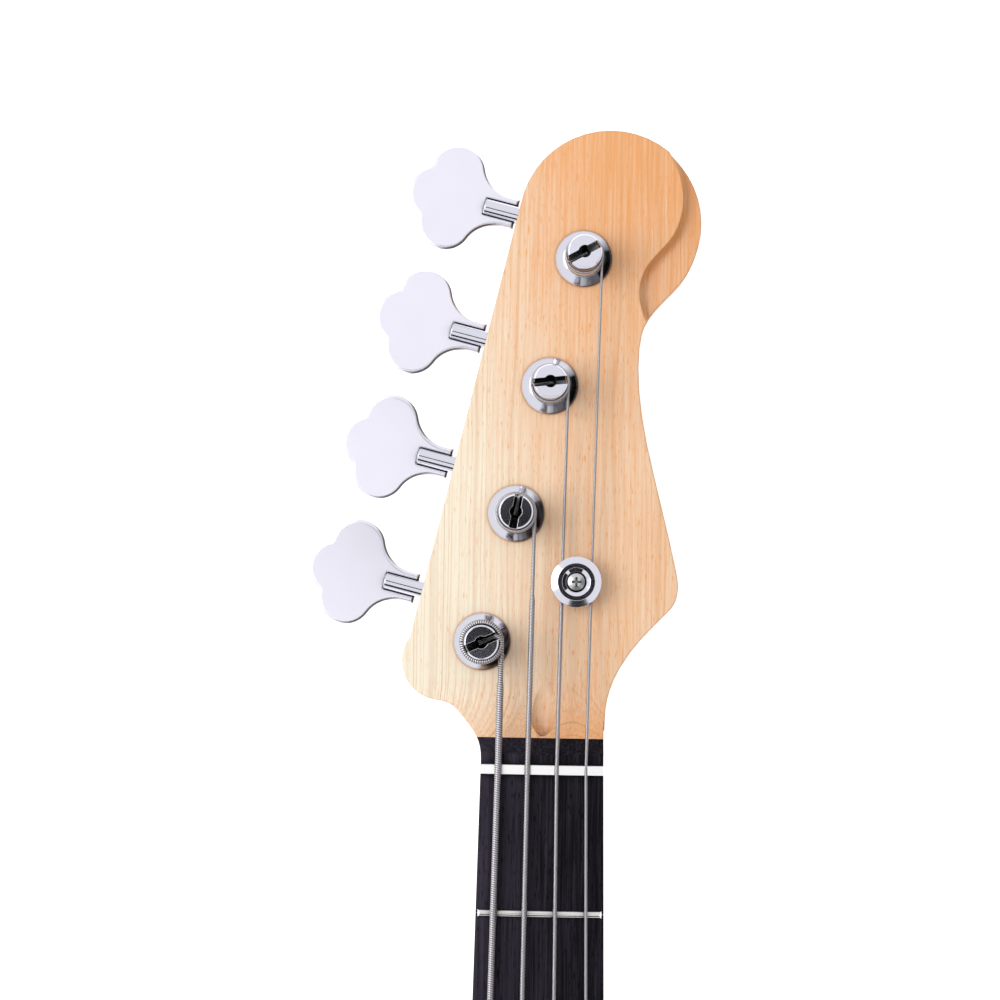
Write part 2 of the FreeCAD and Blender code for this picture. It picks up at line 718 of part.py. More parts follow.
def neck_shaft():
    """Heel, its blend and the round neck up to the headstock."""
    heel = prism(heel_plan(0), POCKET_Z, NECK_TOP_Z)
    sections = []
    for share in HEEL_BLEND_SHARES:
        y = HEEL_FRONT_Y + HEEL_BLEND_LENGTH * share
        ease = share * share * (3 - 2 * share)
        width = neck_width(y)
        sections.append(neck_section(
            y, width, blend(HEEL_THICKNESS, NECK_DEPTH_HEEL, ease),
            blend(HEEL_THICKNESS - HEEL_EDGE_RADIUS, NECK_SIDE_HEIGHT, ease),
            blend(width - 2 * HEEL_EDGE_RADIUS, NECK_BACK_FLAT, ease)))
    blended = Part.makeLoft(sections, True, False)
    nut_section = neck_section(SCALE_LENGTH, NUT_WIDTH, NECK_DEPTH_NUT, NECK_SIDE_HEIGHT, NECK_BACK_FLAT)
    shaft = Part.makeLoft([sections[-1], nut_section], True, True)
    end = from_nut(0, BACK_RAMP_FOOT).y
    deep = NECK_TOP_Z - HEAD_BACK_Z - BACK_BLEND_INSET
    end_section = neck_section(end, BACK_BLEND_WIDTH, deep, NECK_SIDE_HEIGHT, NECK_BACK_FLAT)
    throat = Part.makeLoft([nut_section, end_section], True, True)
    return [heel, blended, shaft, throat]


def head_plate():
    """Headstock with its ramp, rounded edges and the stepped scroll."""
    plate = prism(head_outline(), HEAD_BACK_Z, NECK_TOP_Z)
    foot = from_nut(0, BACK_RAMP_FOOT).y
    tip = from_nut(0, HEAD_LENGTH + OVERRUN).y
    round_z = HEAD_BACK_Z + BACK_RAMP_RADIUS
    hull = cylinder(BACK_RAMP_RADIUS, V(-HEAD_WIDTH, foot, round_z), V(HEAD_WIDTH, foot, round_z))
    full = block(-HEAD_WIDTH, HEAD_WIDTH, foot, tip, HEAD_BACK_Z, BOARD_TOP_Z)
    plate = plate.common(hull.fuse(full)).cut(ramp_cut())
    edge_points = [head_point(pair) for pair in RELIEF_EDGE_SHARES]
    beyond = HEAD_WIDTH
    far_high = V(beyond, edge_points[0].y, 0)
    far_low = V(beyond, edge_points[-1].y, 0)
    step = Part.Wire([spline(edge_points), line(edge_points[-1], far_low), line(far_low, far_high),
                      line(far_high, edge_points[0])])
    cutter = prism(step, FACE_Z - RELIEF_DEPTH, FACE_Z + OVERRUN)
    cove = [edge for edge in edges_at(cutter, FACE_Z - RELIEF_DEPTH)
            if edge.Curve.TypeId == "Part::GeomBSplineCurve"]
    return plate.cut(cutter.makeFillet(RELIEF_COVE_RADIUS, cove))


def scoop():
    """Bullet-shaped cut that gives the truss rod's wrench its way in, and the bore behind it."""
    start = from_nut(0, SCOOP_START_Y, FACE_Z + SCOOP_START_RISE)
    end = from_nut(0, SCOOP_END_Y, FACE_Z + SCOOP_END_RISE)
    back = V(0, from_nut(0, ROD_NUT_BACK_Y).y, start.z)
    bore = cylinder(ROD_NUT_RADIUS + ROD_CLEARANCE, back, start)
    return [Part.makeSphere(SCOOP_RADIUS, start), cylinder(SCOOP_RADIUS, start, end), bore]


def rod_channel(margin):
    """Channel under the fingerboard that the truss rod lies in, grown by a margin."""
    half = ROD_WIDTH / 2 + margin
    start = HEEL_END_Y + ROD_START_INSET - margin
    end = from_nut(0, ROD_NUT_BACK_Y).y
    return block(-half, half, start, end, NECK_TOP_Z - ROD_HEIGHT - margin, NECK_TOP_Z)


def make_truss_rod():
    """Truss rod bar and its adjusting nut."""
    save("truss_rod", [rod_channel(0)])
    axis_z = FACE_Z + SCOOP_START_RISE
    back = from_nut(0, ROD_NUT_BACK_Y).y
    nut = cylinder(ROD_NUT_RADIUS, V(0, back, axis_z), V(0, back + ROD_NUT_LENGTH, axis_z))
    socket = hexagon(ROD_SOCKET_RADIUS, ORIGIN, 0, ROD_SOCKET_DEPTH + OVERRUN)
    socket.rotate(ORIGIN, X_AXIS, -FULL_TURN / 4)
    socket.translate(V(0, back + ROD_NUT_LENGTH - ROD_SOCKET_DEPTH, axis_z))
    save("truss_rod_nut", [nut.cut(socket)])


def tuner_holes():
    """Stepped bores for the bushings and posts, and the pilot holes of the plate screws."""
    cuts = []
    floor = FACE_Z - BUSHING_BARREL_DEPTH
    for name in STRINGS:
        place = post_place(name)
        cuts.append(rod(BUSHING_BARREL_RADIUS, place, floor, FACE_Z + OVERRUN))
        cuts.append(rod(POST_SHAFT_RADIUS + STRING_CLEARANCE, place, HEAD_BACK_Z - OVERRUN, floor))
        for spot in plate_screw_places():
            hole = bore_for_screw(PLATE_SCREW_RADIUS, PLATE_SCREW_DEPTH)
            hole.rotate(ORIGIN, X_AXIS, FULL_TURN / 2)
            cuts.append(at_tuner(moved(hole, V(spot.x, spot.y, PLATE_Z)), name))
    return cuts


def neck_screw_places():
    """The four screws that hold the neck to the body."""
    centre = HEEL_END_Y + HEEL_LENGTH / 2
    return [V(sx * NECK_SCREW_SPREAD_X / 2, centre + sy * NECK_SCREW_SPREAD_Y / 2, 0)
            for sx in (-1, 1) for sy in (-1, 1)]


def make_neck():
    """One-piece neck and headstock."""
    neck = merged([head_plate()] + neck_shaft())
    neck = neck.cut(ramp_cut())
    cuts = tuner_holes() + scoop() + [rod_channel(ROD_CLEARANCE)]
    for place in neck_screw_places():
        cuts.append(rod(NECK_SCREW_RADIUS, place, POCKET_Z - OVERRUN, POCKET_Z + NECK_SCREW_BITE))
    hole = bore_for_screw(RETAINER_SCREW_RADIUS, RETAINER_SCREW_DEPTH)
    cuts.append(moved(hole, from_nut(RETAINER_X, RETAINER_Y, FACE_Z)))
    save("neck", [neck.cut(cuts)])


# Fingerboard, frets, dots and nut

def board_blank():
    """Fingerboard before its slots: tapered, crowned and run out on the headstock's ramp."""
    throat_y = head_point(HEAD_THROAT_SHARES[0]).y
    low = neck_width(HEEL_END_Y) / 2
    high = head_point(HEAD_THROAT_SHARES[0]).x
    corners = [V(-low, HEEL_END_Y, 0), V(low, HEEL_END_Y, 0), V(-high, throat_y, 0), V(high, throat_y, 0)]
    taper = prism(Part.makePolygon(corners + corners[:1]), NECK_TOP_Z, BOARD_TOP_Z)
    flare = prism(head_outline(), NECK_TOP_Z, BOARD_TOP_Z)
    flare = flare.common(block(-HEAD_WIDTH, HEAD_WIDTH, throat_y, from_nut(0, RAMP_FOOT).y, 0, BOARD_TOP_Z))
    axis_z = BOARD_TOP_Z - BOARD_RADIUS
    crown = cylinder(BOARD_RADIUS, V(0, 0, axis_z), V(0, from_nut(0, HEAD_LENGTH).y, axis_z))
    return merged([taper, flare]).common(crown).cut(ramp_cut())


def swept_over_board(profile, half_width):
    """Sweep a flat profile, drawn on the centre line, round the fingerboard's crown."""
    centre = V(0, 0, BOARD_TOP_Z - BOARD_RADIUS)
    half_angle = math.degrees(math.asin(half_width / BOARD_RADIUS))
    face = Part.Face(profile)
    face.rotate(centre, Y_AXIS, -half_angle)
    return face.revolve(centre, Y_AXIS, 2 * half_angle)


def swept_in_steps(profile, half_width, steps):
    """The same sweep in short joined runs, so that its faces keep close to the crown."""
    centre = V(0, 0, BOARD_TOP_Z - BOARD_RADIUS)
    half_angle = math.degrees(math.asin(half_width / BOARD_RADIUS))
    runs = []
    for step in range(steps):
        face = Part.Face(profile)
        face.rotate(centre, Y_AXIS, half_angle * (2 * step / steps - 1))
        runs.append(face.revolve(centre, Y_AXIS, 2 * half_angle / steps))
    return runs[0].multiFuse(runs[1:])


def fret_half_width(number):
    """Half the length of a fret."""
    return neck_width(fret_y(number)) / 2 - FRET_END_INSET


def tang_profile(number, top):
    """Tang section of a fret up to a level above the board."""
    y = fret_y(number)
    half = FRET_TANG_WIDTH / 2
    low = BOARD_TOP_Z - FRET_TANG_DEPTH
    corners = [V(0, y - half, low), V(0, y + half, low), V(0, y + half, top), V(0, y - half, top)]
    return Part.makePolygon(corners + corners[:1])


def fret(number):
    """One fret: crowned wire with its tang, ends bevelled."""
    y = fret_y(number)
    half = FRET_WIDTH / 2
    tang = FRET_TANG_WIDTH / 2
    low = BOARD_TOP_Z - FRET_TANG_DEPTH
    left, right = V(0, y - half, BOARD_TOP_Z), V(0, y + half, BOARD_TOP_Z)
    profile = Part.Wire([
        arc(left, V(0, y, BOARD_TOP_Z + FRET_CROWN), right), line(right, V(0, y + tang, BOARD_TOP_Z)),
        line(V(0, y + tang, BOARD_TOP_Z), V(0, y + tang, low)),
        line(V(0, y + tang, low), V(0, y - tang, low)),
        line(V(0, y - tang, low), V(0, y - tang, BOARD_TOP_Z)), line(V(0, y - tang, BOARD_TOP_Z), left),
    ])
    reach = fret_half_width(number)
    wire = swept_in_steps(profile, reach, FRET_RUNS)
    base = BOARD_TOP_Z - board_sag(reach)
    top = base + FRET_CROWN
    inner = reach - FRET_END_BEVEL
    spread = FRET_END_BEVEL * (top - low + BOARD_THICKNESS) / FRET_CROWN
    outer = inner + spread
    deep = top - FRET_CROWN * spread / FRET_END_BEVEL
    high = top + FRET_CROWN
    peak = inner - FRET_END_BEVEL
    corners = [V(-outer, y - FRET_WIDTH, deep), V(outer, y - FRET_WIDTH, deep),
               V(peak, y - FRET_WIDTH, high), V(-peak, y - FRET_WIDTH, high)]
    bevel = Part.Face(Part.makePolygon(corners + corners[:1])).extrude(V(0, 2 * FRET_WIDTH, 0))
    return wire.common(bevel)


def dot_places():
    """Centres of the position dots."""
    places = [V(0, (fret_y(n) + fret_y(n - 1)) / 2, 0) for n in DOT_FRETS]
    octave = (fret_y(FRETS_PER_OCTAVE) + fret_y(FRETS_PER_OCTAVE - 1)) / 2
    places.extend(V(side * OCTAVE_DOT_PITCH / 2, octave, 0) for side in (-1, 1))
    return places


def make_fingerboard():
    """Fingerboard with its frets, dots and nut."""
    blank = board_blank()
    numbers = range(1, FRET_COUNT + 1)
    slots = [swept_over_board(tang_profile(n, BOARD_TOP_Z + OVERRUN), HEEL_WIDTH) for n in numbers]
    dot_cores = []
    for place in dot_places():
        floor = BOARD_TOP_Z - DOT_DEPTH - board_sag(place.x)
        dot_cores.append(rod(DOT_DIAMETER / 2, place, floor, BOARD_TOP_Z + OVERRUN))
    save("position_dots", [core.common(blank) for core in dot_cores])
    seat_z = BOARD_TOP_Z - NUT_SEAT_DEPTH
    nut_back = SCALE_LENGTH + NUT_THICKNESS
    seat = block(-HEAD_WIDTH, HEAD_WIDTH, SCALE_LENGTH, nut_back, seat_z, BOARD_TOP_Z + OVERRUN)
    save("fingerboard", [blank.cut(slots + dot_cores + [seat])])
    save("frets", [fret(n) for n in numbers])
    half = NUT_WIDTH / 2
    nut = block(-half, half, SCALE_LENGTH, nut_back, seat_z, BOARD_TOP_Z + NUT_RISE)
    axis_z = BOARD_TOP_Z - BOARD_RADIUS
    crown = cylinder(BOARD_RADIUS + NUT_RISE, V(0, SCALE_LENGTH - OVERRUN, axis_z),
                     V(0, nut_back + OVERRUN, axis_z))
    slots = []
    for name in STRINGS:
        edges = rounded_run(nut_run(name), [NUT_BEND_RADIUS])
        slots.append(tube(edges, STRING_DIAMETER[name] + 2 * NUT_SLOT_CLEARANCE))
    save("nut", [nut.common(crown).cut(slots)])


# Strings

def string_x(name, pitch):
    """Place of a string across the neck for a given pitch."""
    return (STRINGS.index(name) - (len(STRINGS) - 1) / 2) * pitch


def saddle_point(name):
    """Where a string's centre crosses its saddle."""
    x = string_x(name, BRIDGE_STRING_PITCH)
    level = BOARD_TOP_Z - board_sag(x) + SADDLE_STRING_RISE + STRING_DIAMETER[name] / 2
    return V(x, -SADDLE_SETBACK[name], level)


def nut_point(name):
    """Where a string's centre crosses the nut."""
    x = string_x(name, NUT_STRING_PITCH)
    level = BOARD_TOP_Z - board_sag(x) + NUT_STRING_RISE + STRING_DIAMETER[name] / 2
    return from_nut(x, NUT_THICKNESS / 2, level)


def lip_point(name):
    """Where a string passes the rear face of the bridge's lip."""
    saddle = saddle_point(name)
    run = nut_point(name) - saddle
    share = (BRIDGE_LIP_Y - saddle.y) / run.y
    return V(saddle.x + run.x * share, BRIDGE_LIP_Y, BODY_THICKNESS + BRIDGE_STRING_HOLE_RISE)


def wrap_radius(name):
    """Radius of the string's centre line round its post."""
    return POST_WAIST_RADIUS + STRING_CLEARANCE + TAIL_DIAMETER[name] / 2


def wrap_start(name, corner):
    """Angle at which a string coming from a corner first touches its winding."""
    away = corner - post_place(name)
    flat = math.hypot(away.x, away.y)
    return math.atan2(away.y, away.x) + math.acos(wrap_radius(name) / flat)


def wrap_end(name):
    """Angle of the winding's last point, where the string turns into the slot."""
    return math.radians(POST_SLOT_DEG[name] + FULL_TURN * WRAP_TURNS[name])


def wrap_point(name, angle):
    """Point of the winding at an angle, climbing to the slot."""
    pitch = TAIL_DIAMETER[name] + WRAP_GAP
    level = FACE_Z + POST_SLOT_STRING_RISE - pitch * (wrap_end(name) - angle) / (2 * math.pi)
    radius = wrap_radius(name)
    return post_place(name) + V(radius * math.cos(angle), radius * math.sin(angle), level)


def wrap_heading(name, angle):
    """Direction of the winding at an angle."""
    climb = (TAIL_DIAMETER[name] + WRAP_GAP) / (2 * math.pi)
    radius = wrap_radius(name)
    return V(-radius * math.sin(angle), radius * math.cos(angle), climb).normalize()


def last_corner(name):
    """Last bend before the post: under the retainer for the two thin strings, else at the nut."""
    nut = nut_point(name)
    if name in ("e", "a"):
        return nut
    touch = wrap_point(name, wrap_start(name, nut))
    share = (from_nut(0, RETAINER_Y).y - nut.y) / (touch.y - nut.y)
    level = FACE_Z + RETAINER_UNDERSIDE - STRING_CLEARANCE - TAIL_DIAMETER[name] / 2
    return V(blend(nut.x, touch.x, share), blend(nut.y, touch.y, share), level)


def touch_point(name):
    """Where a string first meets its winding."""
    return wrap_point(name, wrap_start(name, last_corner(name)))


def string_next(name):
    """Point that a string heads for after the nut."""
    corner = last_corner(name)
    return touch_point(name) if name in ("e", "a") else corner


def nut_run(name):
    """Short run of a string through the nut."""
    nut = nut_point(name)
    before = (saddle_point(name) - nut).normalize() * (NUT_THICKNESS + OVERRUN)
    after = (string_next(name) - nut).normalize() * (NUT_THICKNESS + OVERRUN)
    return [nut + before, nut, nut + after]


def slot_entry(name):
    """Bend of the string from its winding into the slot and the straight end inside."""
    radius = wrap_radius(name)
    bend = TAIL_DIAMETER[name] + STRING_CLEARANCE
    reach = math.sqrt((radius - bend) ** 2 - bend ** 2)
    lag = math.atan2(bend, reach)
    angle = wrap_end(name)
    out = V(math.cos(angle), math.sin(angle), 0)
    side = V(-math.sin(angle), math.cos(angle), 0)
    centre = post_place(name) + V(0, 0, FACE_Z + POST_SLOT_STRING_RISE)
    hub = centre + out * reach - side * bend
    start = centre + (hub - centre).normalize() * radius
    end = centre + out * reach
    across = ((start - hub).normalize() + (end - hub).normalize()).normalize()
    inside = centre - out * POST_HOLE_RADIUS * 0.5
    return angle - lag, [arc(start, hub + across * bend, end), line(end, inside)]


def slot_mouth(name):
    """Rounded mouth of the slot, where the string turns in from its winding."""
    bend, inside = slot_entry(name)[1]
    radius = TAIL_DIAMETER[name] / 2 + MOUTH_CLEARANCE
    start = bend.valueAt(bend.FirstParameter)
    end = bend.valueAt(bend.LastParameter)
    back = bend.tangentAt(bend.FirstParameter) * -1
    ring = Part.Face(Part.Wire(Part.makeCircle(radius, start, back)))
    sweep = math.degrees(bend.LastParameter - bend.FirstParameter)
    corner = ring.revolve(bend.Curve.Center, Z_AXIS, sweep)
    lead = cylinder(radius, start, start + back * OVERRUN)
    straight = cylinder(radius, end, inside.valueAt(inside.LastParameter))
    return [corner, lead, straight]


def winding(name):
    """Centre line of the turns on the post, from the first touch to the string's end in the slot."""
    first = wrap_start(name, last_corner(name))
    last, entry = slot_entry(name)
    quarters = math.ceil((last - first) / (math.pi / 2))
    angles = [blend(first, last, step / quarters) for step in range(quarters + 1)]
    points = [wrap_point(name, angle) for angle in angles]
    headings = [wrap_heading(name, angle) for angle in angles]
    before = string_next(name) if name in ("d", "g") else nut_point(name)
    headings[0] = (points[0] - before).normalize()
    points[-1] = entry[0].valueAt(entry[0].FirstParameter)
    headings[-1] = entry[0].tangentAt(entry[0].FirstParameter)
    edges = []
    for start, first_way, end, last_way in zip(points, headings, points[1:], headings[1:]):
        edges.extend(biarc(start, first_way, end, last_way))
    return edges + entry


def make_string(name):
    """One string: ball end, plain length over saddle and nut, taper, and the winding on its post."""
    saddle, nut, lip = saddle_point(name), nut_point(name), lip_point(name)
    ahead = (string_next(name) - nut).normalize()
    taper = nut + ahead * TAPER_START[name]
    taper_end = taper + ahead * TAPER_LENGTH
    thick, thin = STRING_DIAMETER[name], TAIL_DIAMETER[name]
    behind = (lip - saddle).normalize()
    ball = lip + behind * (BALL_DIAMETER / 2 / abs(behind.y))
    rest_radius = SADDLE_RADIUS - SADDLE_GROOVE_DEPTH + SADDLE_STRING_GAP + thick / 2
    main = tube(rounded_run([ball, saddle, nut, taper], [rest_radius, NUT_BEND_RADIUS]), thick)
    cone = Part.makeCone(thick / 2, thin / 2, TAPER_LENGTH, taper, ahead)
    turns = winding(name)
    runs = [taper_end, touch_point(name)]
    radii = []
    if name in ("d", "g"):
        runs.insert(1, last_corner(name))
        radii.append(RETAINER_BEND_RADIUS)
    tail_edges = rounded_run(runs, radii) + turns
    tail = tube(tail_edges, thin)
    ball_half = X_AXIS * (BALL_LENGTH / 2)
    anchor = cylinder(BALL_DIAMETER / 2, ball - ball_half, ball + ball_half)
    print("string", name, "winding gap", round(least_gap(turns, thin), 2))
    expected = math.pi * thin * thin / 4 * sum(edge.Length for edge in tail_edges)
    print("string", name, "tail volume share", round(tail.Volume / expected, 4))
    save("string_" + name, [merged([main, cone, tail, anchor])])


# Tuning machines

def plate_screw_places():
    """Screws at the corners of a tuner's base plate, in the tuner's frame."""
    return [V(x, y, 0) for x in (PLATE_SCREW_INSET - PLATE_BACK, PLATE_FRONT - PLATE_SCREW_INSET)
            for y in (PLATE_SCREW_INSET - PLATE_LOW, PLATE_HIGH - PLATE_SCREW_INSET)]


def tuner_plate():
    """Base plate with two bearing lugs for the worm."""
    wire = rounded_rectangle(-PLATE_BACK, PLATE_FRONT, -PLATE_LOW, PLATE_HIGH, PLATE_CORNER_RADIUS)
    plate = prism(wire, PLATE_Z, HEAD_BACK_Z)
    lugs = []
    for start in (LUG_START, -LUG_START - LUG_THICKNESS):
        end = start + LUG_THICKNESS
        lugs.append(block(start, end, WORM_Y - LUG_RADIUS, WORM_Y + LUG_RADIUS, WORM_Z, PLATE_Z))
        lugs.append(cylinder(LUG_RADIUS, V(start, WORM_Y, WORM_Z), V(end, WORM_Y, WORM_Z)))
    reach = LUG_START + LUG_THICKNESS + OVERRUN
    bearing = cylinder(JOURNAL_RADIUS + RUNNING_CLEARANCE, V(-reach, WORM_Y, WORM_Z),
                       V(reach, WORM_Y, WORM_Z))
    tail = rod(POST_TAIL_RADIUS + RUNNING_CLEARANCE, ORIGIN, PLATE_Z - OVERRUN, HEAD_BACK_Z + OVERRUN)
    holes = [bearing, tail]
    for place in plate_screw_places():
        holes.append(rod(PLATE_SCREW_RADIUS, place, PLATE_Z - OVERRUN, HEAD_BACK_Z + OVERRUN))
    return merged([plate] + lugs).cut(holes)


def tuner_bushing():
    """Cone-flanged bushing pressed into the headstock's face."""
    barrel_z = FACE_Z - BUSHING_BARREL_DEPTH
    bore = POST_SHAFT_RADIUS + RUNNING_CLEARANCE
    top = FACE_Z + BUSHING_TOP_HEIGHT
    mouth = BUSHING_TOP_HEIGHT - BUSHING_COLLAR_HEIGHT
    return turned((
        (bore, barrel_z), (BUSHING_BARREL_RADIUS, barrel_z), (BUSHING_BARREL_RADIUS, FACE_Z),
        (BUSHING_FLANGE_RADIUS, FACE_Z), (BUSHING_FLANGE_RADIUS, FACE_Z + BUSHING_FLANGE_EDGE),
        (BUSHING_COLLAR_RADIUS, FACE_Z + BUSHING_COLLAR_HEIGHT), (BUSHING_MOUTH_RADIUS, top),
        (bore + mouth, top), (bore, FACE_Z + BUSHING_COLLAR_HEIGHT),
    ))


def tuner_post(name):
    """String post: shaft, waisted head with a slot and a middle hole."""
    collar = FACE_Z + BUSHING_TOP_HEIGHT + STRING_CLEARANCE
    post = turned((
        (0, GEAR_BASE_Z), (POST_TAIL_RADIUS, GEAR_BASE_Z),
        (POST_TAIL_RADIUS, HEAD_BACK_Z + STRING_CLEARANCE),
        (POST_SHAFT_RADIUS, HEAD_BACK_Z + STRING_CLEARANCE), (POST_SHAFT_RADIUS, collar),
        (POST_COLLAR_RADIUS, collar), (POST_COLLAR_RADIUS, FACE_Z + POST_COLLAR_HEIGHT),
        (POST_WAIST_RADIUS, FACE_Z + POST_WAIST_START), (POST_WAIST_RADIUS, FACE_Z + POST_WAIST_END),
        (POST_TOP_RADIUS, FACE_Z + POST_CAP_START), (POST_TOP_RADIUS, FACE_Z + POST_HEIGHT - POST_CHAMFER),
        (POST_TOP_RADIUS - POST_CHAMFER, FACE_Z + POST_HEIGHT), (0, FACE_Z + POST_HEIGHT),
    ))
    high = FACE_Z + POST_HEIGHT + OVERRUN
    half = POST_SLOT_WIDTH / 2
    reach = POST_COLLAR_RADIUS + OVERRUN
    slot = block(-reach, reach, -half, half, FACE_Z + POST_SLOT_FLOOR, high)
    slot.rotate(ORIGIN, Z_AXIS, POST_SLOT_DEG[name])
    hole = rod(POST_HOLE_RADIUS, ORIGIN, FACE_Z + POST_HOLE_FLOOR, high)
    post = moved(post.cut([slot, hole]), post_place(name))
    return post.cut(slot_mouth(name))


def tuner_gear():
    """Gear with teeth leaning to the worm's lead, and the screw that holds it on the post."""
    root = GEAR_RADIUS - GEAR_DEDENDUM
    tip = GEAR_RADIUS + GEAR_ADDENDUM
    high = GEAR_BASE_Z + GEAR_THICKNESS
    wheel = rod(root, ORIGIN, GEAR_BASE_Z, high)
    lean = GEAR_THICKNESS * WORM_LEAD / (2 * math.pi * WORM_PITCH_RADIUS)
    wide = WORM_LEAD * GEAR_ROOT_TOOTH_SHARE / 2
    narrow = WORM_LEAD * GEAR_TIP_TOOTH_SHARE / 2
    inner = root * math.cos(wide / root) - GEAR_ADDENDUM
    corners = [V(inner, -wide - lean / 2, GEAR_BASE_Z), V(root, -wide - lean / 2, GEAR_BASE_Z),
               V(tip, -narrow - lean / 2, GEAR_BASE_Z), V(tip, narrow - lean / 2, GEAR_BASE_Z),
               V(root, wide - lean / 2, GEAR_BASE_Z), V(inner, wide - lean / 2, GEAR_BASE_Z)]
    tooth = Part.Face(Part.makePolygon(corners + corners[:1])).extrude(V(0, lean, GEAR_THICKNESS))
    step = FULL_TURN / GEAR_TEETH
    teeth = [moved(tooth, ORIGIN, Z_AXIS, FULL_TURN / 4 + step * (i + 0.5)) for i in range(GEAR_TEETH)]
    screw_z = GEAR_BASE_Z - GEAR_SCREW_HEIGHT
    head = rod(GEAR_SCREW_RADIUS + GEAR_SCREW_HEIGHT / 2, ORIGIN, screw_z, GEAR_BASE_Z)
    half = GEAR_SCREW_SLOT_WIDTH / 2
    reach = GEAR_SCREW_RADIUS + OVERRUN
    slot = block(-reach, reach, -half, half, screw_z - OVERRUN, screw_z + GEAR_SCREW_SLOT_DEPTH)
    bore = rod(POST_TAIL_RADIUS, ORIGIN, GEAR_BASE_Z, high + OVERRUN)
    return merged([wheel, head] + teeth).cut([slot, bore])


def worm_section(turn):
    """Thread section at a number of turns along the worm, in a plane through its axis."""
    angle = 2 * math.pi * turn + math.pi
    middle = WORM_LEAD * turn
    wide = WORM_LEAD * WORM_ROOT_TOOTH_SHARE / 2
    narrow = WORM_LEAD * WORM_TIP_TOOTH_SHARE / 2
    inner = WORM_CORE_RADIUS - WORM_ROOT_SINK
    out = V(0, math.cos(angle), math.sin(angle))
    axis = V(middle, WORM_Y, WORM_Z)
    corners = [axis + out * inner - X_AXIS * wide, axis + out * WORM_OUTER_RADIUS - X_AXIS * narrow,
               axis + out * WORM_OUTER_RADIUS + X_AXIS * narrow, axis + out * inner + X_AXIS * wide]
    return Part.makePolygon(corners + corners[:1])


def tuner_worm():
    """Worm with its thread, journals and the barrel that the key is pressed on."""
    half = WORM_LEAD * WORM_TURNS / 2
    steps = WORM_STEPS_PER_TURN * WORM_TURNS
    sections = [worm_section(WORM_TURNS * (i / steps - 0.5)) for i in range(steps + 1)]
    thread = Part.makeLoft(sections, True, True)
    inside = LUG_START - WORM_COLLAR_GAP
    outside = LUG_START + LUG_THICKNESS + BARREL_GAP

    def turn(radius, start, end):
        return cylinder(radius, V(start, WORM_Y, WORM_Z), V(end, WORM_Y, WORM_Z))

    core = turn(WORM_CORE_RADIUS, -inside, inside)
    collars = [turn(WORM_COLLAR_RADIUS, side * inside, side * (inside - WORM_COLLAR_LENGTH))
               for side in (-1, 1)]
    journal = turn(JOURNAL_RADIUS, -outside, outside)
    barrel = turn(BARREL_RADIUS, -outside, -BARREL_END)
    rims = [edge for edge in barrel.Edges if abs(edge.BoundBox.XLength) < LEVEL_TOLERANCE]
    barrel = barrel.makeChamfer(BARREL_CHAMFER, rims)
    return merged([core, journal, barrel, thread] + collars)


def key_outline():
    """Clover-leaf outline of a tuner key in its own plane, reach along -x, slot left out."""
    lobe = KEY_LOBE_RADIUS
    side = V(-KEY_SIDE_LOBE_REACH, KEY_SIDE_LOBE_SPREAD, 0)
    end = V(-KEY_END_LOBE_REACH, 0, 0)
    rise = KEY_PRONG_HALF_WIDTH + KEY_WAIST_RADIUS - KEY_SIDE_LOBE_SPREAD
    run = math.sqrt((KEY_WAIST_RADIUS + lobe) ** 2 - rise ** 2)
    waist = V(side.x + run, KEY_PRONG_HALF_WIDTH + KEY_WAIST_RADIUS, 0)
    waist_start = V(waist.x, KEY_PRONG_HALF_WIDTH, 0)
    waist_end = side + (waist - side).normalize() * lobe
    bisector = (waist_start - waist).normalize() + (waist_end - waist).normalize()
    waist_middle = waist + bisector.normalize() * KEY_WAIST_RADIUS
    middle = (side + end) * 0.5
    apart = (side - end).Length / 2
    outward = V(-(side - end).y, (side - end).x, 0).normalize()
    valley = middle + outward * math.sqrt(lobe ** 2 - apart ** 2)
    crest = side + ((waist_end - side).normalize() + (valley - side).normalize()).normalize() * lobe
    tip = end - X_AXIS * lobe
    prong = V(-KEY_PRONG_START, KEY_PRONG_HALF_WIDTH, 0)

    def mirror(point):
        return V(point.x, -point.y, 0)

    return Part.Wire([
        line(mirror(prong), prong), line(prong, waist_start), arc(waist_start, waist_middle, waist_end),
        arc(waist_end, crest, valley), arc(valley, tip, mirror(valley)),
        arc(mirror(valley), mirror(crest), mirror(waist_end)),
        arc(mirror(waist_end), mirror(waist_middle), mirror(waist_start)),
        line(mirror(waist_start), mirror(prong)),
    ])


def tuner_key(name):
    """Clover-leaf key, forked over the barrel of the worm."""
    half = KEY_THICKNESS / 2
    leaf = prism(key_outline(), -half, half)
    valleys = []
    for edge in leaf.Edges:
        box = edge.BoundBox
        beyond_side_lobes = box.XMax < -KEY_END_LOBE_REACH
        if box.ZLength > half and box.XLength < LEVEL_TOLERANCE and beyond_side_lobes:
            valleys.append(edge)
    leaf = leaf.makeFillet(KEY_VALLEY_RADIUS, valleys)
    leaf = leaf.makeFillet(KEY_EDGE_RADIUS, edges_at(leaf, half) + edges_at(leaf, -half))
    slot = block(-BARREL_END, OVERRUN - KEY_PRONG_START, -BARREL_RADIUS, BARREL_RADIUS,
                 -KEY_THICKNESS, KEY_THICKNESS)
    leaf = leaf.cut(slot)
    leaf.rotate(ORIGIN, X_AXIS, KEY_REST_DEG[name])
    leaf.translate(V(0, WORM_Y, WORM_Z))
    return leaf


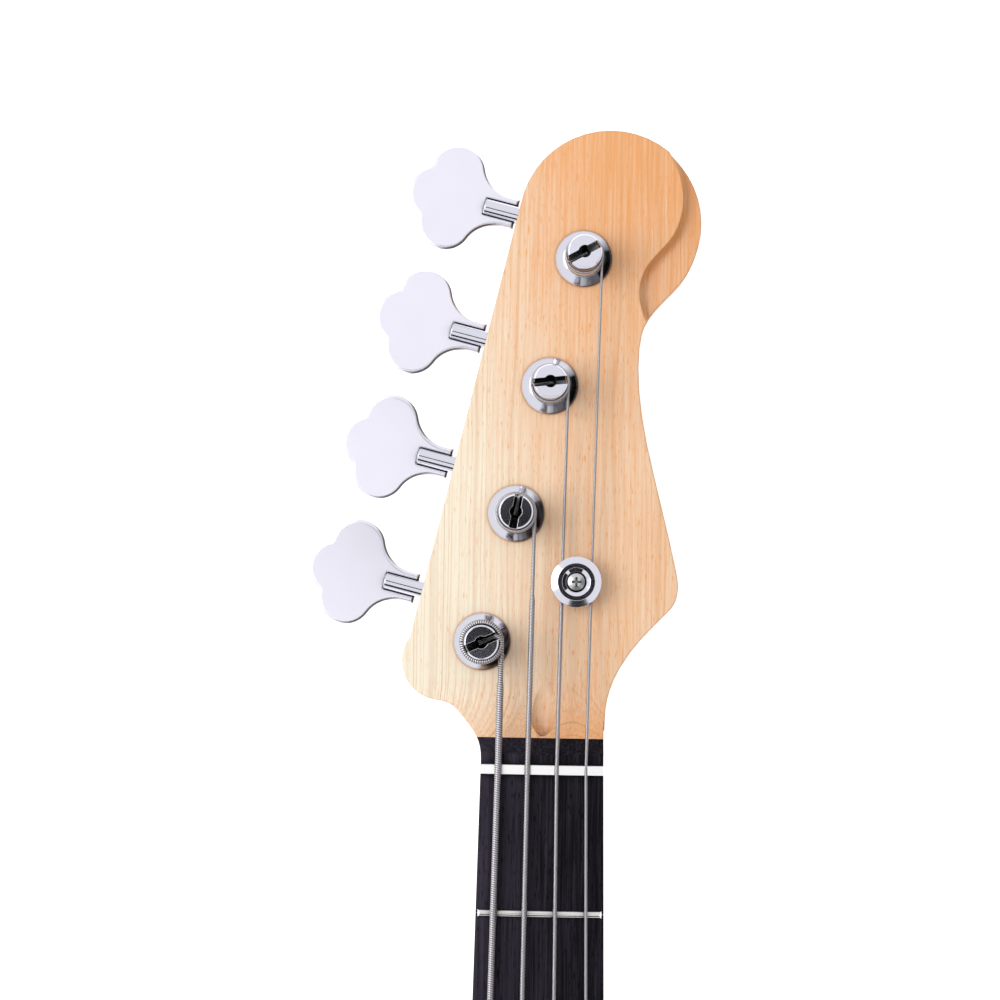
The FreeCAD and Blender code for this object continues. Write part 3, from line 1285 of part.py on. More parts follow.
def make_tuners():
    """Four machines: fixed plates, bushings and screws, and each string's post, gear, worm and key."""
    plate, bushing, gear, worm = tuner_plate(), tuner_bushing(), tuner_gear(), tuner_worm()
    plate_screw = screw(PLATE_SCREW_HEAD_RADIUS, PLATE_SCREW_HEAD_HEIGHT, PLATE_SCREW_RADIUS,
                        PLATE_SCREW_DEPTH)
    plate_screw.rotate(ORIGIN, X_AXIS, FULL_TURN / 2)
    save("tuner_plates", [at_tuner(plate, name) for name in STRINGS])
    save("tuner_bushings", [at_tuner(bushing, name) for name in STRINGS])
    save("tuner_screws", [at_tuner(moved(plate_screw, V(spot.x, spot.y, PLATE_Z)), name)
                          for name in STRINGS for spot in plate_screw_places()])
    for name in STRINGS:
        save("tuner_post_" + name, [tuner_post(name)])
        save("tuner_gear_" + name, [at_tuner(gear, name)])
        save("tuner_worm_" + name, [at_tuner(worm, name)])
        save("tuner_key_" + name, [at_tuner(tuner_key(name), name)])


def make_retainer():
    """Round string retainer with its dished top, and its screw."""
    foot = FACE_Z + RETAINER_FOOT_HEIGHT
    under = FACE_Z + RETAINER_UNDERSIDE
    dish = FACE_Z + RETAINER_DISH_HEIGHT
    rim = FACE_Z + RETAINER_RIM_HEIGHT
    top = FACE_Z + RETAINER_TOP_HEIGHT
    disc = turned((
        (RETAINER_SCREW_RADIUS, FACE_Z), (RETAINER_FOOT_RADIUS, FACE_Z), (RETAINER_FOOT_RADIUS, foot),
        (RETAINER_WAIST_RADIUS, foot + (RETAINER_FOOT_RADIUS - RETAINER_WAIST_RADIUS)),
        (RETAINER_WAIST_RADIUS, under), (RETAINER_RADIUS, FACE_Z + RETAINER_RIM_UNDERSIDE),
        (RETAINER_RADIUS, rim),
        (RETAINER_RING_RADIUS, top), (RETAINER_DISH_RADIUS, top),
        (RETAINER_SCREW_HEAD_RADIUS, dish), (RETAINER_SCREW_RADIUS, dish),
    ))
    place = from_nut(RETAINER_X, RETAINER_Y)
    save("string_retainer", [moved(disc, place)])
    depth = RETAINER_SCREW_DEPTH + RETAINER_DISH_HEIGHT
    pin = screw(RETAINER_SCREW_HEAD_RADIUS, RETAINER_SCREW_HEAD_HEIGHT, RETAINER_SCREW_RADIUS, depth)
    save("string_retainer_screw", [moved(pin, place + V(0, 0, dish))])


# Body

def body_point(shares):
    """Point of the body's outline at level zero."""
    return V(shares[0] * BODY_WIDTH, BODY_TAIL_Y + shares[1] * BODY_LENGTH, 0)


VOLUME_PLACE = body_point(VOLUME_SHARES)
TONE_PLACE = body_point(TONE_SHARES)
JACK_PLACE = body_point(JACK_SHARES)


def route(start, end, radius, z0, z1):
    """Straight routed slot with round ends."""
    reach = end - start
    heading = math.degrees(math.atan2(reach.y, reach.x))
    middle = moved(block(0, reach.Length, -radius, radius, z0, z1), V(start.x, start.y, 0), Z_AXIS, heading)
    return merged([middle, rod(radius, start, z0, z1), rod(radius, end, z0, z1)])


def pickup_places():
    """Centre of each half of the split pickup, under its two strings."""
    places = []
    for pair, y in ((("e", "a"), PICKUP_BASS_Y), (("d", "g"), PICKUP_TREBLE_Y)):
        share = y / SCALE_LENGTH
        xs = [blend(string_x(n, BRIDGE_STRING_PITCH), string_x(n, NUT_STRING_PITCH), share) for n in pair]
        places.append(V(sum(xs) / len(xs), y, 0))
    return places


def pickup_block(place, margin, z0, z1):
    """Rounded block with a pickup half's plan, grown by a margin."""
    half_x = PICKUP_LENGTH / 2 + margin
    half_y = PICKUP_WIDTH / 2 + margin
    wire = rounded_rectangle(place.x - half_x, place.x + half_x, place.y - half_y, place.y + half_y,
                             PICKUP_CORNER_RADIUS + margin)
    return prism(wire, z0, z1)


def ear_places(place):
    """Screw ears at the two ends of a pickup half."""
    reach = PICKUP_LENGTH / 2 + PICKUP_EAR_REACH
    return [place + V(side * reach, 0, 0) for side in (-1, 1)]


def guard_screw_places():
    """Screws round the pickguard's edge."""
    return [body_point(pair) for pair in GUARD_SCREW_SHARES]


def bridge_screw_places():
    """Screws in a row along the bridge's front."""
    middle = (BRIDGE_SCREW_COUNT - 1) / 2
    return [V((i - middle) * BRIDGE_SCREW_PITCH, BRIDGE_SCREW_Y, 0) for i in range(BRIDGE_SCREW_COUNT)]


def strap_seats():
    """Seat of each strap button on the body's side, with the direction it points."""
    level = V(0, 0, BODY_THICKNESS / 2)
    tail = body_point((0, 0)) + level
    horn = body_point(STRAP_HORN_SHARES) + level
    return [(tail + Y_AXIS * STRAP_SEAT_DEPTH, Y_AXIS * -1), (horn - Y_AXIS * STRAP_SEAT_DEPTH, Y_AXIS)]


def strap_turned(shape, seat, way):
    """Put a piece drawn on z onto a strap button's seat."""
    quarter = FULL_TURN / 4 if way.y < 0 else -FULL_TURN / 4
    return moved(shape, seat, X_AXIS, quarter)


def body_cavities():
    """Everything routed or drilled into the body."""
    top = BODY_THICKNESS + OVERRUN
    pocket = prism(heel_plan(POCKET_CLEARANCE), POCKET_Z, top)
    cuts = [pocket]
    floor = BODY_THICKNESS - PICKUP_CAVITY_DEPTH
    cuts.extend(pickup_block(place, PICKUP_CAVITY_MARGIN, floor, top) for place in pickup_places())
    low = BODY_THICKNESS - CAVITY_DEPTH
    cuts.append(route(VOLUME_PLACE, TONE_PLACE, CAVITY_RADIUS, low, top))
    cuts.append(route(TONE_PLACE, JACK_PLACE, CAVITY_RADIUS, low, top))
    channel = BODY_THICKNESS - WIRE_LEVEL_DROP - CHANNEL_RADIUS
    start = V(WIRE_CORNER.x, PICKUP_TREBLE_Y - PICKUP_WIDTH / 2, 0)
    cuts.append(route(start, WIRE_CORNER, CHANNEL_RADIUS, channel, top))
    cuts.append(route(WIRE_CORNER, VOLUME_PLACE, CHANNEL_RADIUS, channel, top))
    small = bore_for_screw(SMALL_SCREW_RADIUS, SMALL_SCREW_BITE)
    ears = [spot for place in pickup_places() for spot in ear_places(place)]
    cuts.extend(moved(small, spot + V(0, 0, BODY_THICKNESS)) for spot in guard_screw_places() + ears)
    long = bore_for_screw(BRIDGE_SCREW_RADIUS, BRIDGE_SCREW_BITE)
    cuts.extend(moved(long, spot + V(0, 0, BODY_THICKNESS)) for spot in bridge_screw_places())
    for spot in neck_screw_places():
        cuts.append(rod(NECK_FERRULE_RADIUS, spot, -OVERRUN, NECK_FERRULE_SINK + NECK_FERRULE_HEIGHT))
        cuts.append(rod(NECK_SCREW_RADIUS + STRING_CLEARANCE, spot, 0, POCKET_Z + OVERRUN))
    for seat, way in strap_seats():
        flat = cylinder(STRAP_BUTTON_RADIUS + STRING_CLEARANCE, seat, seat + way * OVERRUN)
        hole = strap_turned(bore_for_screw(STRAP_SCREW_RADIUS, STRAP_SCREW_BITE), seat, way)
        cuts.extend([flat, hole])
    return cuts


def make_body():
    """Contoured body with its routs."""
    solid = prism(closed_spline([body_point(pair) for pair in BODY_OUTLINE_SHARES]), 0, BODY_THICKNESS)
    edge = BODY_WIDTH * BODY_EDGE_SHARE
    solid = solid.makeFillet(edge, edges_at(solid, 0) + edges_at(solid, BODY_THICKNESS))
    lean = math.radians(ARM_CONTOUR_DEG)
    along = V(-math.sin(lean), math.cos(lean), 0)
    high = BODY_THICKNESS - ARM_CONTOUR_DEPTH + ARM_CONTOUR_RADIUS
    middle = body_point(ARM_CONTOUR_SHARES) + V(0, 0, high)
    arm = cylinder(ARM_CONTOUR_RADIUS, middle - along * BODY_LENGTH, middle + along * BODY_LENGTH)
    low = BELLY_CONTOUR_DEPTH - BELLY_CONTOUR_RADIUS
    belly = Part.makeSphere(BELLY_CONTOUR_RADIUS, body_point(BELLY_CONTOUR_SHARES) + V(0, 0, low))
    save("body", [solid.cut(arm).cut(belly).cut(body_cavities())])
    neck_screw = screw(NECK_SCREW_HEAD_RADIUS, NECK_SCREW_HEAD_HEIGHT, NECK_SCREW_RADIUS,
                       POCKET_Z + NECK_SCREW_BITE - NECK_FERRULE_SINK - NECK_SCREW_HEAD_HEIGHT)
    neck_screw.rotate(ORIGIN, X_AXIS, FULL_TURN / 2)
    seat_z = NECK_FERRULE_SINK + NECK_SCREW_HEAD_HEIGHT
    save("neck_screws", [moved(neck_screw, spot + V(0, 0, seat_z)) for spot in neck_screw_places()])
    top = NECK_FERRULE_SINK + NECK_FERRULE_HEIGHT
    bore = NECK_SCREW_RADIUS + SLIDE_FIT
    recess = NECK_SCREW_HEAD_RADIUS + STRING_CLEARANCE
    ferrule = turned(((recess, NECK_FERRULE_SINK), (NECK_FERRULE_RADIUS, NECK_FERRULE_SINK),
                      (NECK_FERRULE_RADIUS, top), (bore, top), (bore, seat_z), (recess, seat_z)))
    save("neck_ferrules", [moved(ferrule, spot) for spot in neck_screw_places()])
    cap = STRAP_BUTTON_HEIGHT - STRAP_BUTTON_CAP
    edge = STRAP_BUTTON_RADIUS - STRAP_BUTTON_WAIST
    bore = STRAP_SCREW_RADIUS + SLIDE_FIT
    head_z = STRAP_BUTTON_HEIGHT - STRAP_SCREW_HEAD_HEIGHT
    recess = STRAP_SCREW_HEAD_RADIUS + STRING_CLEARANCE
    button = turned(((bore, 0), (STRAP_BUTTON_RADIUS, 0), (STRAP_BUTTON_RADIUS, STRAP_BUTTON_BASE / 2),
                     (STRAP_BUTTON_WAIST, STRAP_BUTTON_BASE), (STRAP_BUTTON_WAIST, cap - edge / 2),
                     (STRAP_BUTTON_RADIUS, cap), (STRAP_BUTTON_RADIUS, STRAP_BUTTON_HEIGHT),
                     (recess, STRAP_BUTTON_HEIGHT), (recess, head_z), (bore, head_z)))
    pin = screw(STRAP_SCREW_HEAD_RADIUS, STRAP_SCREW_HEAD_HEIGHT, STRAP_SCREW_RADIUS,
                STRAP_SCREW_BITE + head_z)
    save("strap_buttons", [strap_turned(button, seat, way) for seat, way in strap_seats()])
    save("strap_screws", [strap_turned(pin, seat + way * head_z, way) for seat, way in strap_seats()])


# Pickguard, pickup, controls and output jack

def make_pickguard():
    """Pickguard with bevelled edge and its screws."""
    outline = closed_spline([body_point(pair) for pair in GUARD_OUTLINE_SHARES])
    guard = prism(outline, BODY_THICKNESS, GUARD_TOP_Z)
    guard = guard.makeChamfer(GUARD_BEVEL, edges_at(guard, GUARD_TOP_Z))
    low, high = BODY_THICKNESS - OVERRUN, GUARD_TOP_Z + OVERRUN
    cuts = [prism(heel_plan(GUARD_NECK_CLEARANCE), low, high)]
    cuts.extend(pickup_block(place, PICKUP_CLEARANCE, low, high) for place in pickup_places())
    for place in (VOLUME_PLACE, TONE_PLACE):
        cuts.append(rod(POT_BUSHING_RADIUS + SLIDE_FIT, place, low, high))
    cuts.append(rod(JACK_BARREL_RADIUS + SLIDE_FIT, JACK_PLACE, low, high))
    ears = [spot for place in pickup_places() for spot in ear_places(place)]
    for spot in guard_screw_places() + ears:
        cuts.append(rod(SMALL_SCREW_RADIUS + SLIDE_FIT, spot, low, high))
    save("pickguard", [guard.cut(cuts)])
    pin = screw(SMALL_SCREW_HEAD_RADIUS, SMALL_SCREW_HEAD_HEIGHT, SMALL_SCREW_RADIUS,
                SMALL_SCREW_BITE + GUARD_THICKNESS)
    save("pickguard_screws", [moved(pin, spot + V(0, 0, GUARD_TOP_Z)) for spot in guard_screw_places()])


def pole_places(place):
    """Two pole pieces on each side of each string over a pickup half."""
    quarter = BRIDGE_STRING_PITCH / 2
    offsets = [side * quarter + step * POLE_SPREAD / 2 for side in (-1, 1) for step in (-1, 1)]
    return [place + V(offset, 0, 0) for offset in offsets]


def make_pickup():
    """Split pickup: two covers on ears, two coils, eight poles and the screws."""
    top = GUARD_TOP_Z + PICKUP_RISE
    low = GUARD_TOP_Z - PICKUP_SKIRT
    floor = BODY_THICKNESS - PICKUP_CAVITY_DEPTH
    pole_top = top + POLE_RISE
    pole_low = pole_top - POLE_LENGTH
    coil_top = top - PICKUP_WALL - COIL_CLEARANCE
    ear_top = GUARD_TOP_Z + PICKUP_EAR_THICKNESS
    covers, coils, poles = [], [], []
    for place in pickup_places():
        shell = pickup_block(place, 0, low, top)
        shell = shell.makeFillet(PICKUP_EDGE_RADIUS, edges_at(shell, top))
        ears = [rod(PICKUP_EAR_RADIUS, spot, GUARD_TOP_Z, ear_top) for spot in ear_places(place)]
        hollow = pickup_block(place, -PICKUP_WALL, low - OVERRUN, top - PICKUP_WALL)
        holes = [rod(SMALL_SCREW_RADIUS + SLIDE_FIT, spot, low, top) for spot in ear_places(place)]
        holes.extend(rod(POLE_RADIUS + POLE_CLEARANCE, spot, low, pole_top) for spot in pole_places(place))
        covers.append(merged([shell] + ears).cut([hollow] + holes))
        coil = pickup_block(place, -PICKUP_WALL - COIL_CLEARANCE, floor, coil_top)
        bores = [rod(POLE_RADIUS + SLIDE_FIT, spot, pole_low, top) for spot in pole_places(place)]
        coils.append(coil.cut(bores))
        poles.extend(rod(POLE_RADIUS, spot, pole_low, pole_top) for spot in pole_places(place))
    save("pickup_covers", covers)
    save("pickup_coils", coils)
    save("pickup_poles", poles)
    pin = screw(SMALL_SCREW_HEAD_RADIUS, SMALL_SCREW_HEAD_HEIGHT, SMALL_SCREW_RADIUS,
                SMALL_SCREW_BITE + GUARD_THICKNESS + PICKUP_EAR_THICKNESS)
    ears = [spot for place in pickup_places() for spot in ear_places(place)]
    save("pickup_screws", [moved(pin, spot + V(0, 0, ear_top)) for spot in ears])


def make_controls():
    """Two pots with nuts, shafts and knobs, the jack, the capacitor and the wires."""
    places = {"volume": VOLUME_PLACE, "tone": TONE_PLACE}
    can_z = BODY_THICKNESS - POT_HEIGHT
    bushing_top = BODY_THICKNESS + POT_BUSHING_RISE
    bore = POT_SHAFT_RADIUS + RUNNING_CLEARANCE
    seat = can_z + POT_SHAFT_SEAT
    pot = turned(((0, can_z), (POT_RADIUS, can_z), (POT_RADIUS, BODY_THICKNESS),
                  (POT_BUSHING_RADIUS, BODY_THICKNESS), (POT_BUSHING_RADIUS, bushing_top),
                  (bore, bushing_top), (bore, seat), (0, seat)))
    save("pots", [moved(pot, place) for place in places.values()])
    nut = hexagon(CONTROL_NUT_RADIUS, ORIGIN, GUARD_TOP_Z, GUARD_TOP_Z + CONTROL_NUT_HEIGHT)
    nut = nut.cut(rod(POT_BUSHING_RADIUS + SLIDE_FIT, ORIGIN, BODY_THICKNESS, bushing_top + OVERRUN))
    save("control_nuts", [moved(nut, place) for place in places.values()])
    knob_z = GUARD_TOP_Z + CONTROL_NUT_HEIGHT + KNOB_GAP
    knob_top = knob_z + KNOB_HEIGHT
    inner_z = knob_z + KNOB_SKIRT_DEPTH
    bore_z = knob_z + KNOB_BORE_DEPTH
    shaft = rod(POT_SHAFT_RADIUS, ORIGIN, seat + STRING_CLEARANCE, bore_z)
    knob = turned(((KNOB_SKIRT_RADIUS, knob_z), (KNOB_RADIUS, knob_z), (KNOB_RADIUS, knob_top),
                   (0, knob_top), (0, bore_z), (POT_SHAFT_RADIUS, bore_z), (POT_SHAFT_RADIUS, inner_z),
                   (KNOB_SKIRT_RADIUS, inner_z)))
    knob = knob.makeFillet(KNOB_EDGE_RADIUS, edges_at(knob, knob_top))
    for name, place in places.items():
        save(name + "_shaft", [moved(shaft, place)])
        save(name + "_knob", [moved(knob, place)])
    make_jack()
    beside = TONE_PLACE + V(0, CAPACITOR_OFFSET, 0)
    save("tone_capacitor", [rod(CAPACITOR_RADIUS, beside, can_z - CAPACITOR_THICKNESS, can_z)])
    save("hookup_wires", hookup_wires())


def make_jack():
    """Output jack: flanged barrel with a plug bore and a contact arm below."""
    barrel_z = GUARD_TOP_Z - JACK_BARREL_DEPTH
    flange = GUARD_TOP_Z + JACK_FLANGE_THICKNESS
    rim = GUARD_TOP_Z + JACK_RISE
    barrel = turned(((JACK_BORE_RADIUS, barrel_z), (JACK_BARREL_RADIUS, barrel_z),
                     (JACK_BARREL_RADIUS, GUARD_TOP_Z), (JACK_FLANGE_RADIUS, GUARD_TOP_Z),
                     (JACK_FLANGE_RADIUS, flange), (JACK_RIM_RADIUS, flange),
                     (JACK_RIM_RADIUS, rim), (JACK_BORE_RADIUS, rim)))
    half = JACK_ARM_WIDTH / 2
    inside = JACK_ARM_REACH - JACK_ARM_THICKNESS
    foot = GUARD_TOP_Z - JACK_ARM_DROP
    arm = block(inside, JACK_ARM_REACH, -half, half, foot, barrel_z + JACK_ARM_WIDTH)
    save("output_jack", [moved(merged([barrel, arm]), JACK_PLACE)])


def hookup_wires():
    """Insulated wires between the coils, the pots and the jack."""
    level = V(0, 0, BODY_THICKNESS - WIRE_LEVEL_DROP)
    coil_half = PICKUP_WIDTH / 2 - PICKUP_WALL - COIL_CLEARANCE
    bass, treble = pickup_places()
    from_coil = V(WIRE_CORNER.x, treble.y - coil_half, 0)
    to_pot = VOLUME_PLACE + (WIRE_CORNER - VOLUME_PLACE).normalize() * POT_RADIUS
    down = (TONE_PLACE - VOLUME_PLACE).normalize()
    onward = (JACK_PLACE - TONE_PLACE).normalize()
    runs = [
        [from_coil, WIRE_CORNER, to_pot],
        [VOLUME_PLACE + down * POT_RADIUS, TONE_PLACE - down * POT_RADIUS],
        [TONE_PLACE + onward * POT_RADIUS, JACK_PLACE - onward * JACK_BARREL_RADIUS],
        [V(WIRE_JUMPER_X, treble.y + coil_half, 0), V(WIRE_JUMPER_X, bass.y - coil_half, 0)],
    ]
    wires = []
    for points in runs:
        raised = [point + level for point in points]
        wires.append(tube(rounded_run(raised, [WIRE_BEND_RADIUS] * (len(raised) - 2)), 2 * WIRE_RADIUS))
    return wires


# Bridge

def saddle_centre(name):
    """Axis point of a saddle barrel, under its string."""
    point = saddle_point(name)
    drop = STRING_DIAMETER[name] / 2 + SADDLE_STRING_GAP + SADDLE_RADIUS - SADDLE_GROOVE_DEPTH
    return point - Z_AXIS * drop


def intonation_line(name, y):
    """Point of an intonation screw's axis."""
    centre = saddle_centre(name)
    return V(centre.x + INTONATION_OFFSET, y, centre.z)


def saddle(name):
    """Barrel saddle with its string groove, screw holes and two height screws."""
    centre = saddle_centre(name)
    half = SADDLE_LENGTH / 2
    barrel = cylinder(SADDLE_RADIUS, centre - X_AXIS * half, centre + X_AXIS * half)
    rims = [edge for edge in barrel.Edges if edge.BoundBox.XLength < LEVEL_TOLERANCE]
    barrel = barrel.makeChamfer(SADDLE_CHAMFER, rims)
    wide = STRING_DIAMETER[name] / 2 + SADDLE_GROOVE_CLEARANCE
    ring = cylinder(SADDLE_RADIUS + OVERRUN, centre - X_AXIS * wide, centre + X_AXIS * wide)
    core = cylinder(SADDLE_RADIUS - SADDLE_GROOVE_DEPTH, centre - X_AXIS * half, centre + X_AXIS * half)
    past = SADDLE_RADIUS + OVERRUN
    thread = cylinder(INTONATION_RADIUS + INTONATION_CLEARANCE, intonation_line(name, centre.y - past),
                      intonation_line(name, centre.y + past))
    seat = centre.y - SADDLE_RADIUS + SPRING_SEAT_DEPTH
    pocket = cylinder(SPRING_SEAT_RADIUS, intonation_line(name, seat - SADDLE_RADIUS),
                      intonation_line(name, seat))
    cuts = [ring.cut(core), thread, pocket]
    pins = []
    for side in (-1, 1):
        place = centre + X_AXIS * (side * HEIGHT_SCREW_SPREAD)
        cuts.append(rod(HEIGHT_SCREW_RADIUS + SLIDE_FIT, place, centre.z - past, centre.z + past))
        pins.append(rod(HEIGHT_SCREW_RADIUS, place, BRIDGE_TOP_Z + HEIGHT_SCREW_GAP,
                        centre.z + HEIGHT_SCREW_RISE))
    return [barrel.cut(cuts)] + pins


def spring_path(name):
    """Centre line of an intonation spring: quarter-turn arcs, ends turned to stand square."""
    start = BRIDGE_LIP_Y + BRIDGE_THICKNESS
    end = saddle_centre(name).y - SADDLE_RADIUS + SPRING_SEAT_DEPTH - SPRING_SEAT_GAP
    lead_in = SPRING_WIRE + SPRING_BEND_RADIUS
    low, high = start + lead_in, end - lead_in
    steps = 4 * SPRING_COILS
    climb = (high - low) / (2 * math.pi * SPRING_COILS)
    points, headings = [], []
    for step in range(steps + 1):
        angle = math.pi / 2 * step
        share = step / steps
        axis = intonation_line(name, blend(low, high, share))
        points.append(axis + V(math.cos(angle), 0, -math.sin(angle)) * SPRING_RADIUS)
        heading = V(-math.sin(angle) * SPRING_RADIUS, climb, -math.cos(angle) * SPRING_RADIUS)
        headings.append(heading.normalize())
    headings[0] = V(0, 0, -1)
    headings[-1] = V(0, 0, -1)
    edges = []
    for p, h, q, k in zip(points, headings, points[1:], headings[1:]):
        edges.extend(biarc(p, h, q, k))
    first, last = points[0], points[-1]
    bend = SPRING_BEND_RADIUS
    diagonal = math.sqrt(0.5) * bend
    foot = first + V(0, -bend, bend)
    foot_hub = first - Y_AXIS * bend
    tip = last + V(0, bend, -bend)
    tip_hub = last + Y_AXIS * bend
    into = [line(foot - Y_AXIS * SPRING_WIRE, foot), arc(foot, foot_hub + V(0, diagonal, diagonal), first)]
    out = [arc(last, tip_hub - V(0, diagonal, diagonal), tip), line(tip, tip + Y_AXIS * SPRING_WIRE)]
    return into, edges, out


def make_bridge():
    """Bridge plate with its lip, screws, saddles, intonation screws and springs."""
    half = BRIDGE_WIDTH / 2
    base = prism(rounded_rectangle(-half, half, BRIDGE_LIP_Y, BRIDGE_FRONT_Y, BRIDGE_CORNER_RADIUS),
                 BODY_THICKNESS, BRIDGE_TOP_Z)
    corner_y = BRIDGE_LIP_Y + BRIDGE_CORNER_RADIUS
    corner = block(-half, half, BRIDGE_LIP_Y, corner_y, BODY_THICKNESS, BRIDGE_TOP_Z)
    lip_top = BODY_THICKNESS + BRIDGE_LIP_HEIGHT
    lip = block(-half, half, BRIDGE_LIP_Y, BRIDGE_LIP_Y + BRIDGE_THICKNESS, BODY_THICKNESS, lip_top)
    plate = merged([base, corner, lip])
    bend = [edge for edge in plate.Edges if edge.BoundBox.XLength > half
            and abs(edge.BoundBox.YMin - BRIDGE_LIP_Y) < LEVEL_TOLERANCE
            and abs(edge.BoundBox.ZMax - BODY_THICKNESS) < LEVEL_TOLERANCE]
    plate = plate.makeFillet(BRIDGE_BEND_RADIUS, bend)
    cuts = [rod(BRIDGE_SCREW_RADIUS + SLIDE_FIT, spot, BODY_THICKNESS - OVERRUN, BRIDGE_TOP_Z + OVERRUN)
            for spot in bridge_screw_places()]
    screws, springs = [], []
    for name in STRINGS:
        behind = (lip_point(name) - saddle_point(name)).normalize()
        cuts.append(cylinder(BRIDGE_STRING_HOLE_RADIUS, lip_point(name) - behind * OVERRUN,
                             lip_point(name) + behind * OVERRUN))
        bore = INTONATION_RADIUS + INTONATION_CLEARANCE
        cuts.append(cylinder(bore, intonation_line(name, BRIDGE_LIP_Y - OVERRUN),
                             intonation_line(name, BRIDGE_LIP_Y + OVERRUN)))
        depth = saddle_centre(name).y + INTONATION_REACH - BRIDGE_LIP_Y
        pin = screw(INTONATION_HEAD_RADIUS, INTONATION_HEAD_HEIGHT, INTONATION_RADIUS, depth)
        screws.append(moved(pin, intonation_line(name, BRIDGE_LIP_Y), X_AXIS, FULL_TURN / 4))
        into, turns, out = spring_path(name)
        springs.append(tube(into + turns + out, SPRING_WIRE))
        print("spring", name, "turn gap", round(least_gap(turns, SPRING_WIRE), 2))
        save("saddle_" + name, saddle(name))
    save("bridge_plate", [plate.cut(cuts)])
    save("intonation_screws", screws)
    save("intonation_springs", springs)
    pin = screw(BRIDGE_SCREW_HEAD_RADIUS, BRIDGE_SCREW_HEAD_HEIGHT, BRIDGE_SCREW_RADIUS,
                BRIDGE_SCREW_BITE + BRIDGE_THICKNESS)
    save("bridge_screws", [moved(pin, spot + V(0, 0, BRIDGE_TOP_Z)) for spot in bridge_screw_places()])


os.makedirs("parts", exist_ok=True)
make_neck()
make_truss_rod()
make_fingerboard()
make_tuners()
make_retainer()
for string in STRINGS:
    make_string(string)
make_body()
make_pickguard()
make_pickup()
make_controls()
make_bridge()
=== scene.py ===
"""Electric bass guitar: finishes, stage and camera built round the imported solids."""

import math

import bmesh
import bpy
from bpy.props import FloatProperty, FloatVectorProperty, PointerProperty
from mathutils import Matrix, Vector


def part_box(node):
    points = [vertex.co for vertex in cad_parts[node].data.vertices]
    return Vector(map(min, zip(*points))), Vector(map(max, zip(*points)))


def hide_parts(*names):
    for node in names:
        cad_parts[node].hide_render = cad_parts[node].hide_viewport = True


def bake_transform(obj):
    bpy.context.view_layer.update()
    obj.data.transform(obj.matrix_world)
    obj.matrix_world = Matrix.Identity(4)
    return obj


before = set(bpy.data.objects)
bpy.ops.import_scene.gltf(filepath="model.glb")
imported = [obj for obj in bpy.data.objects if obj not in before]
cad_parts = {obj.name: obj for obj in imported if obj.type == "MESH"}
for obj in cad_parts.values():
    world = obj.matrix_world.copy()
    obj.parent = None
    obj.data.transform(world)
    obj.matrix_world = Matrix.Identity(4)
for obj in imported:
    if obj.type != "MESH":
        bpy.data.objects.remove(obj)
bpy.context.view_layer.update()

bl_info = {
    "name": "Electric bass guitar",
    "version": (1, 0, 0),
    "blender": (4, 5, 0),
    "location": "View3D > Sidebar > Bass",
    "description": "Finishes, stage and camera for a four-string electric bass",
    "category": "Object",
}

STRINGS = ("e", "a", "d", "g")
WINDING_SIZES = (1.0, 0.65, 0.5, 0.4)

# Cuts of the strings and springs, in metres. X runs across the strings, Y along them.
ACROSS, ALONG = 0, 1
STRING_SPLIT = 0.5
FAR = 5.0
WELD_REACH = 1e-6
SHARP_ANGLE = math.radians(40)

# Wood grain: noise stretched along Y, and the ranges over which painted shade deepens the tone.
SWAY_SCALE = (22, 5, 22)
SWAY_REACH = (0.012, 0, 0.012)
FIBRE_SCALE = (1500, 34, 1500)
FLECK_SCALE = (2600, 260, 2600)
FLECK_RANGE = (0.62, 0.8)
FLECK_SHARE = 0.8
PATCH_SCALE = 2.3
YEAR_STEP = 0.37
YEAR_SPREAD = 2.4
LINE_SHARPNESS = 5.0
GROWTH_SPREAD, GROWTH_LEAST = 1.1, 0.25
CUT_GAIN = 2.5
SIDE_RANGE = (-0.042, 0.018)
END_RANGE = (0.97, 1.08)
EDGE_RANGE = (0.98, 0.75)
EDGE_RADIUS = 0.0007

# Shared effects on metal and on the strings: painted shade where they are closed in and on edges that lean to the
# right, and dirt with painted shade between the turns of the winding.
EFFECT_SAMPLES = 6
OPEN_RANGE = (0.4, 0.9)
PAINTED_FLANK_SIDE = (0.9, -0.44, 0.0)
PAINTED_FLANK_RANGE = (0.15, 0.45)
WINDING_SLANT = 0.25
WRAP_LIMIT = 1.35
DIRT_AND_SHADE_SHARPNESS = 2.2
STRING_DIRT_AND_SHADE = (0.08, 0.075, 0.08, 1.0)
STRING_SHADE = (0.02, 0.02, 0.02, 1.0)
STRING_SHADE_REACH = 0.0012
STRING_ROUGHNESS = 0.3

# Reach of the wood's painted shade where it is closed in, then finish, bump and scratch sizes.
WOOD_SHADE_REACH = 0.0035
WOOD_COAT_ROUGHNESS = 0.12
WOOD_BUMP_DEPTH = 0.0002
METAL_BUMP = 0.02
PLASTIC_BUMP = 0.05
SCRATCH_DEPTH = 0.0001

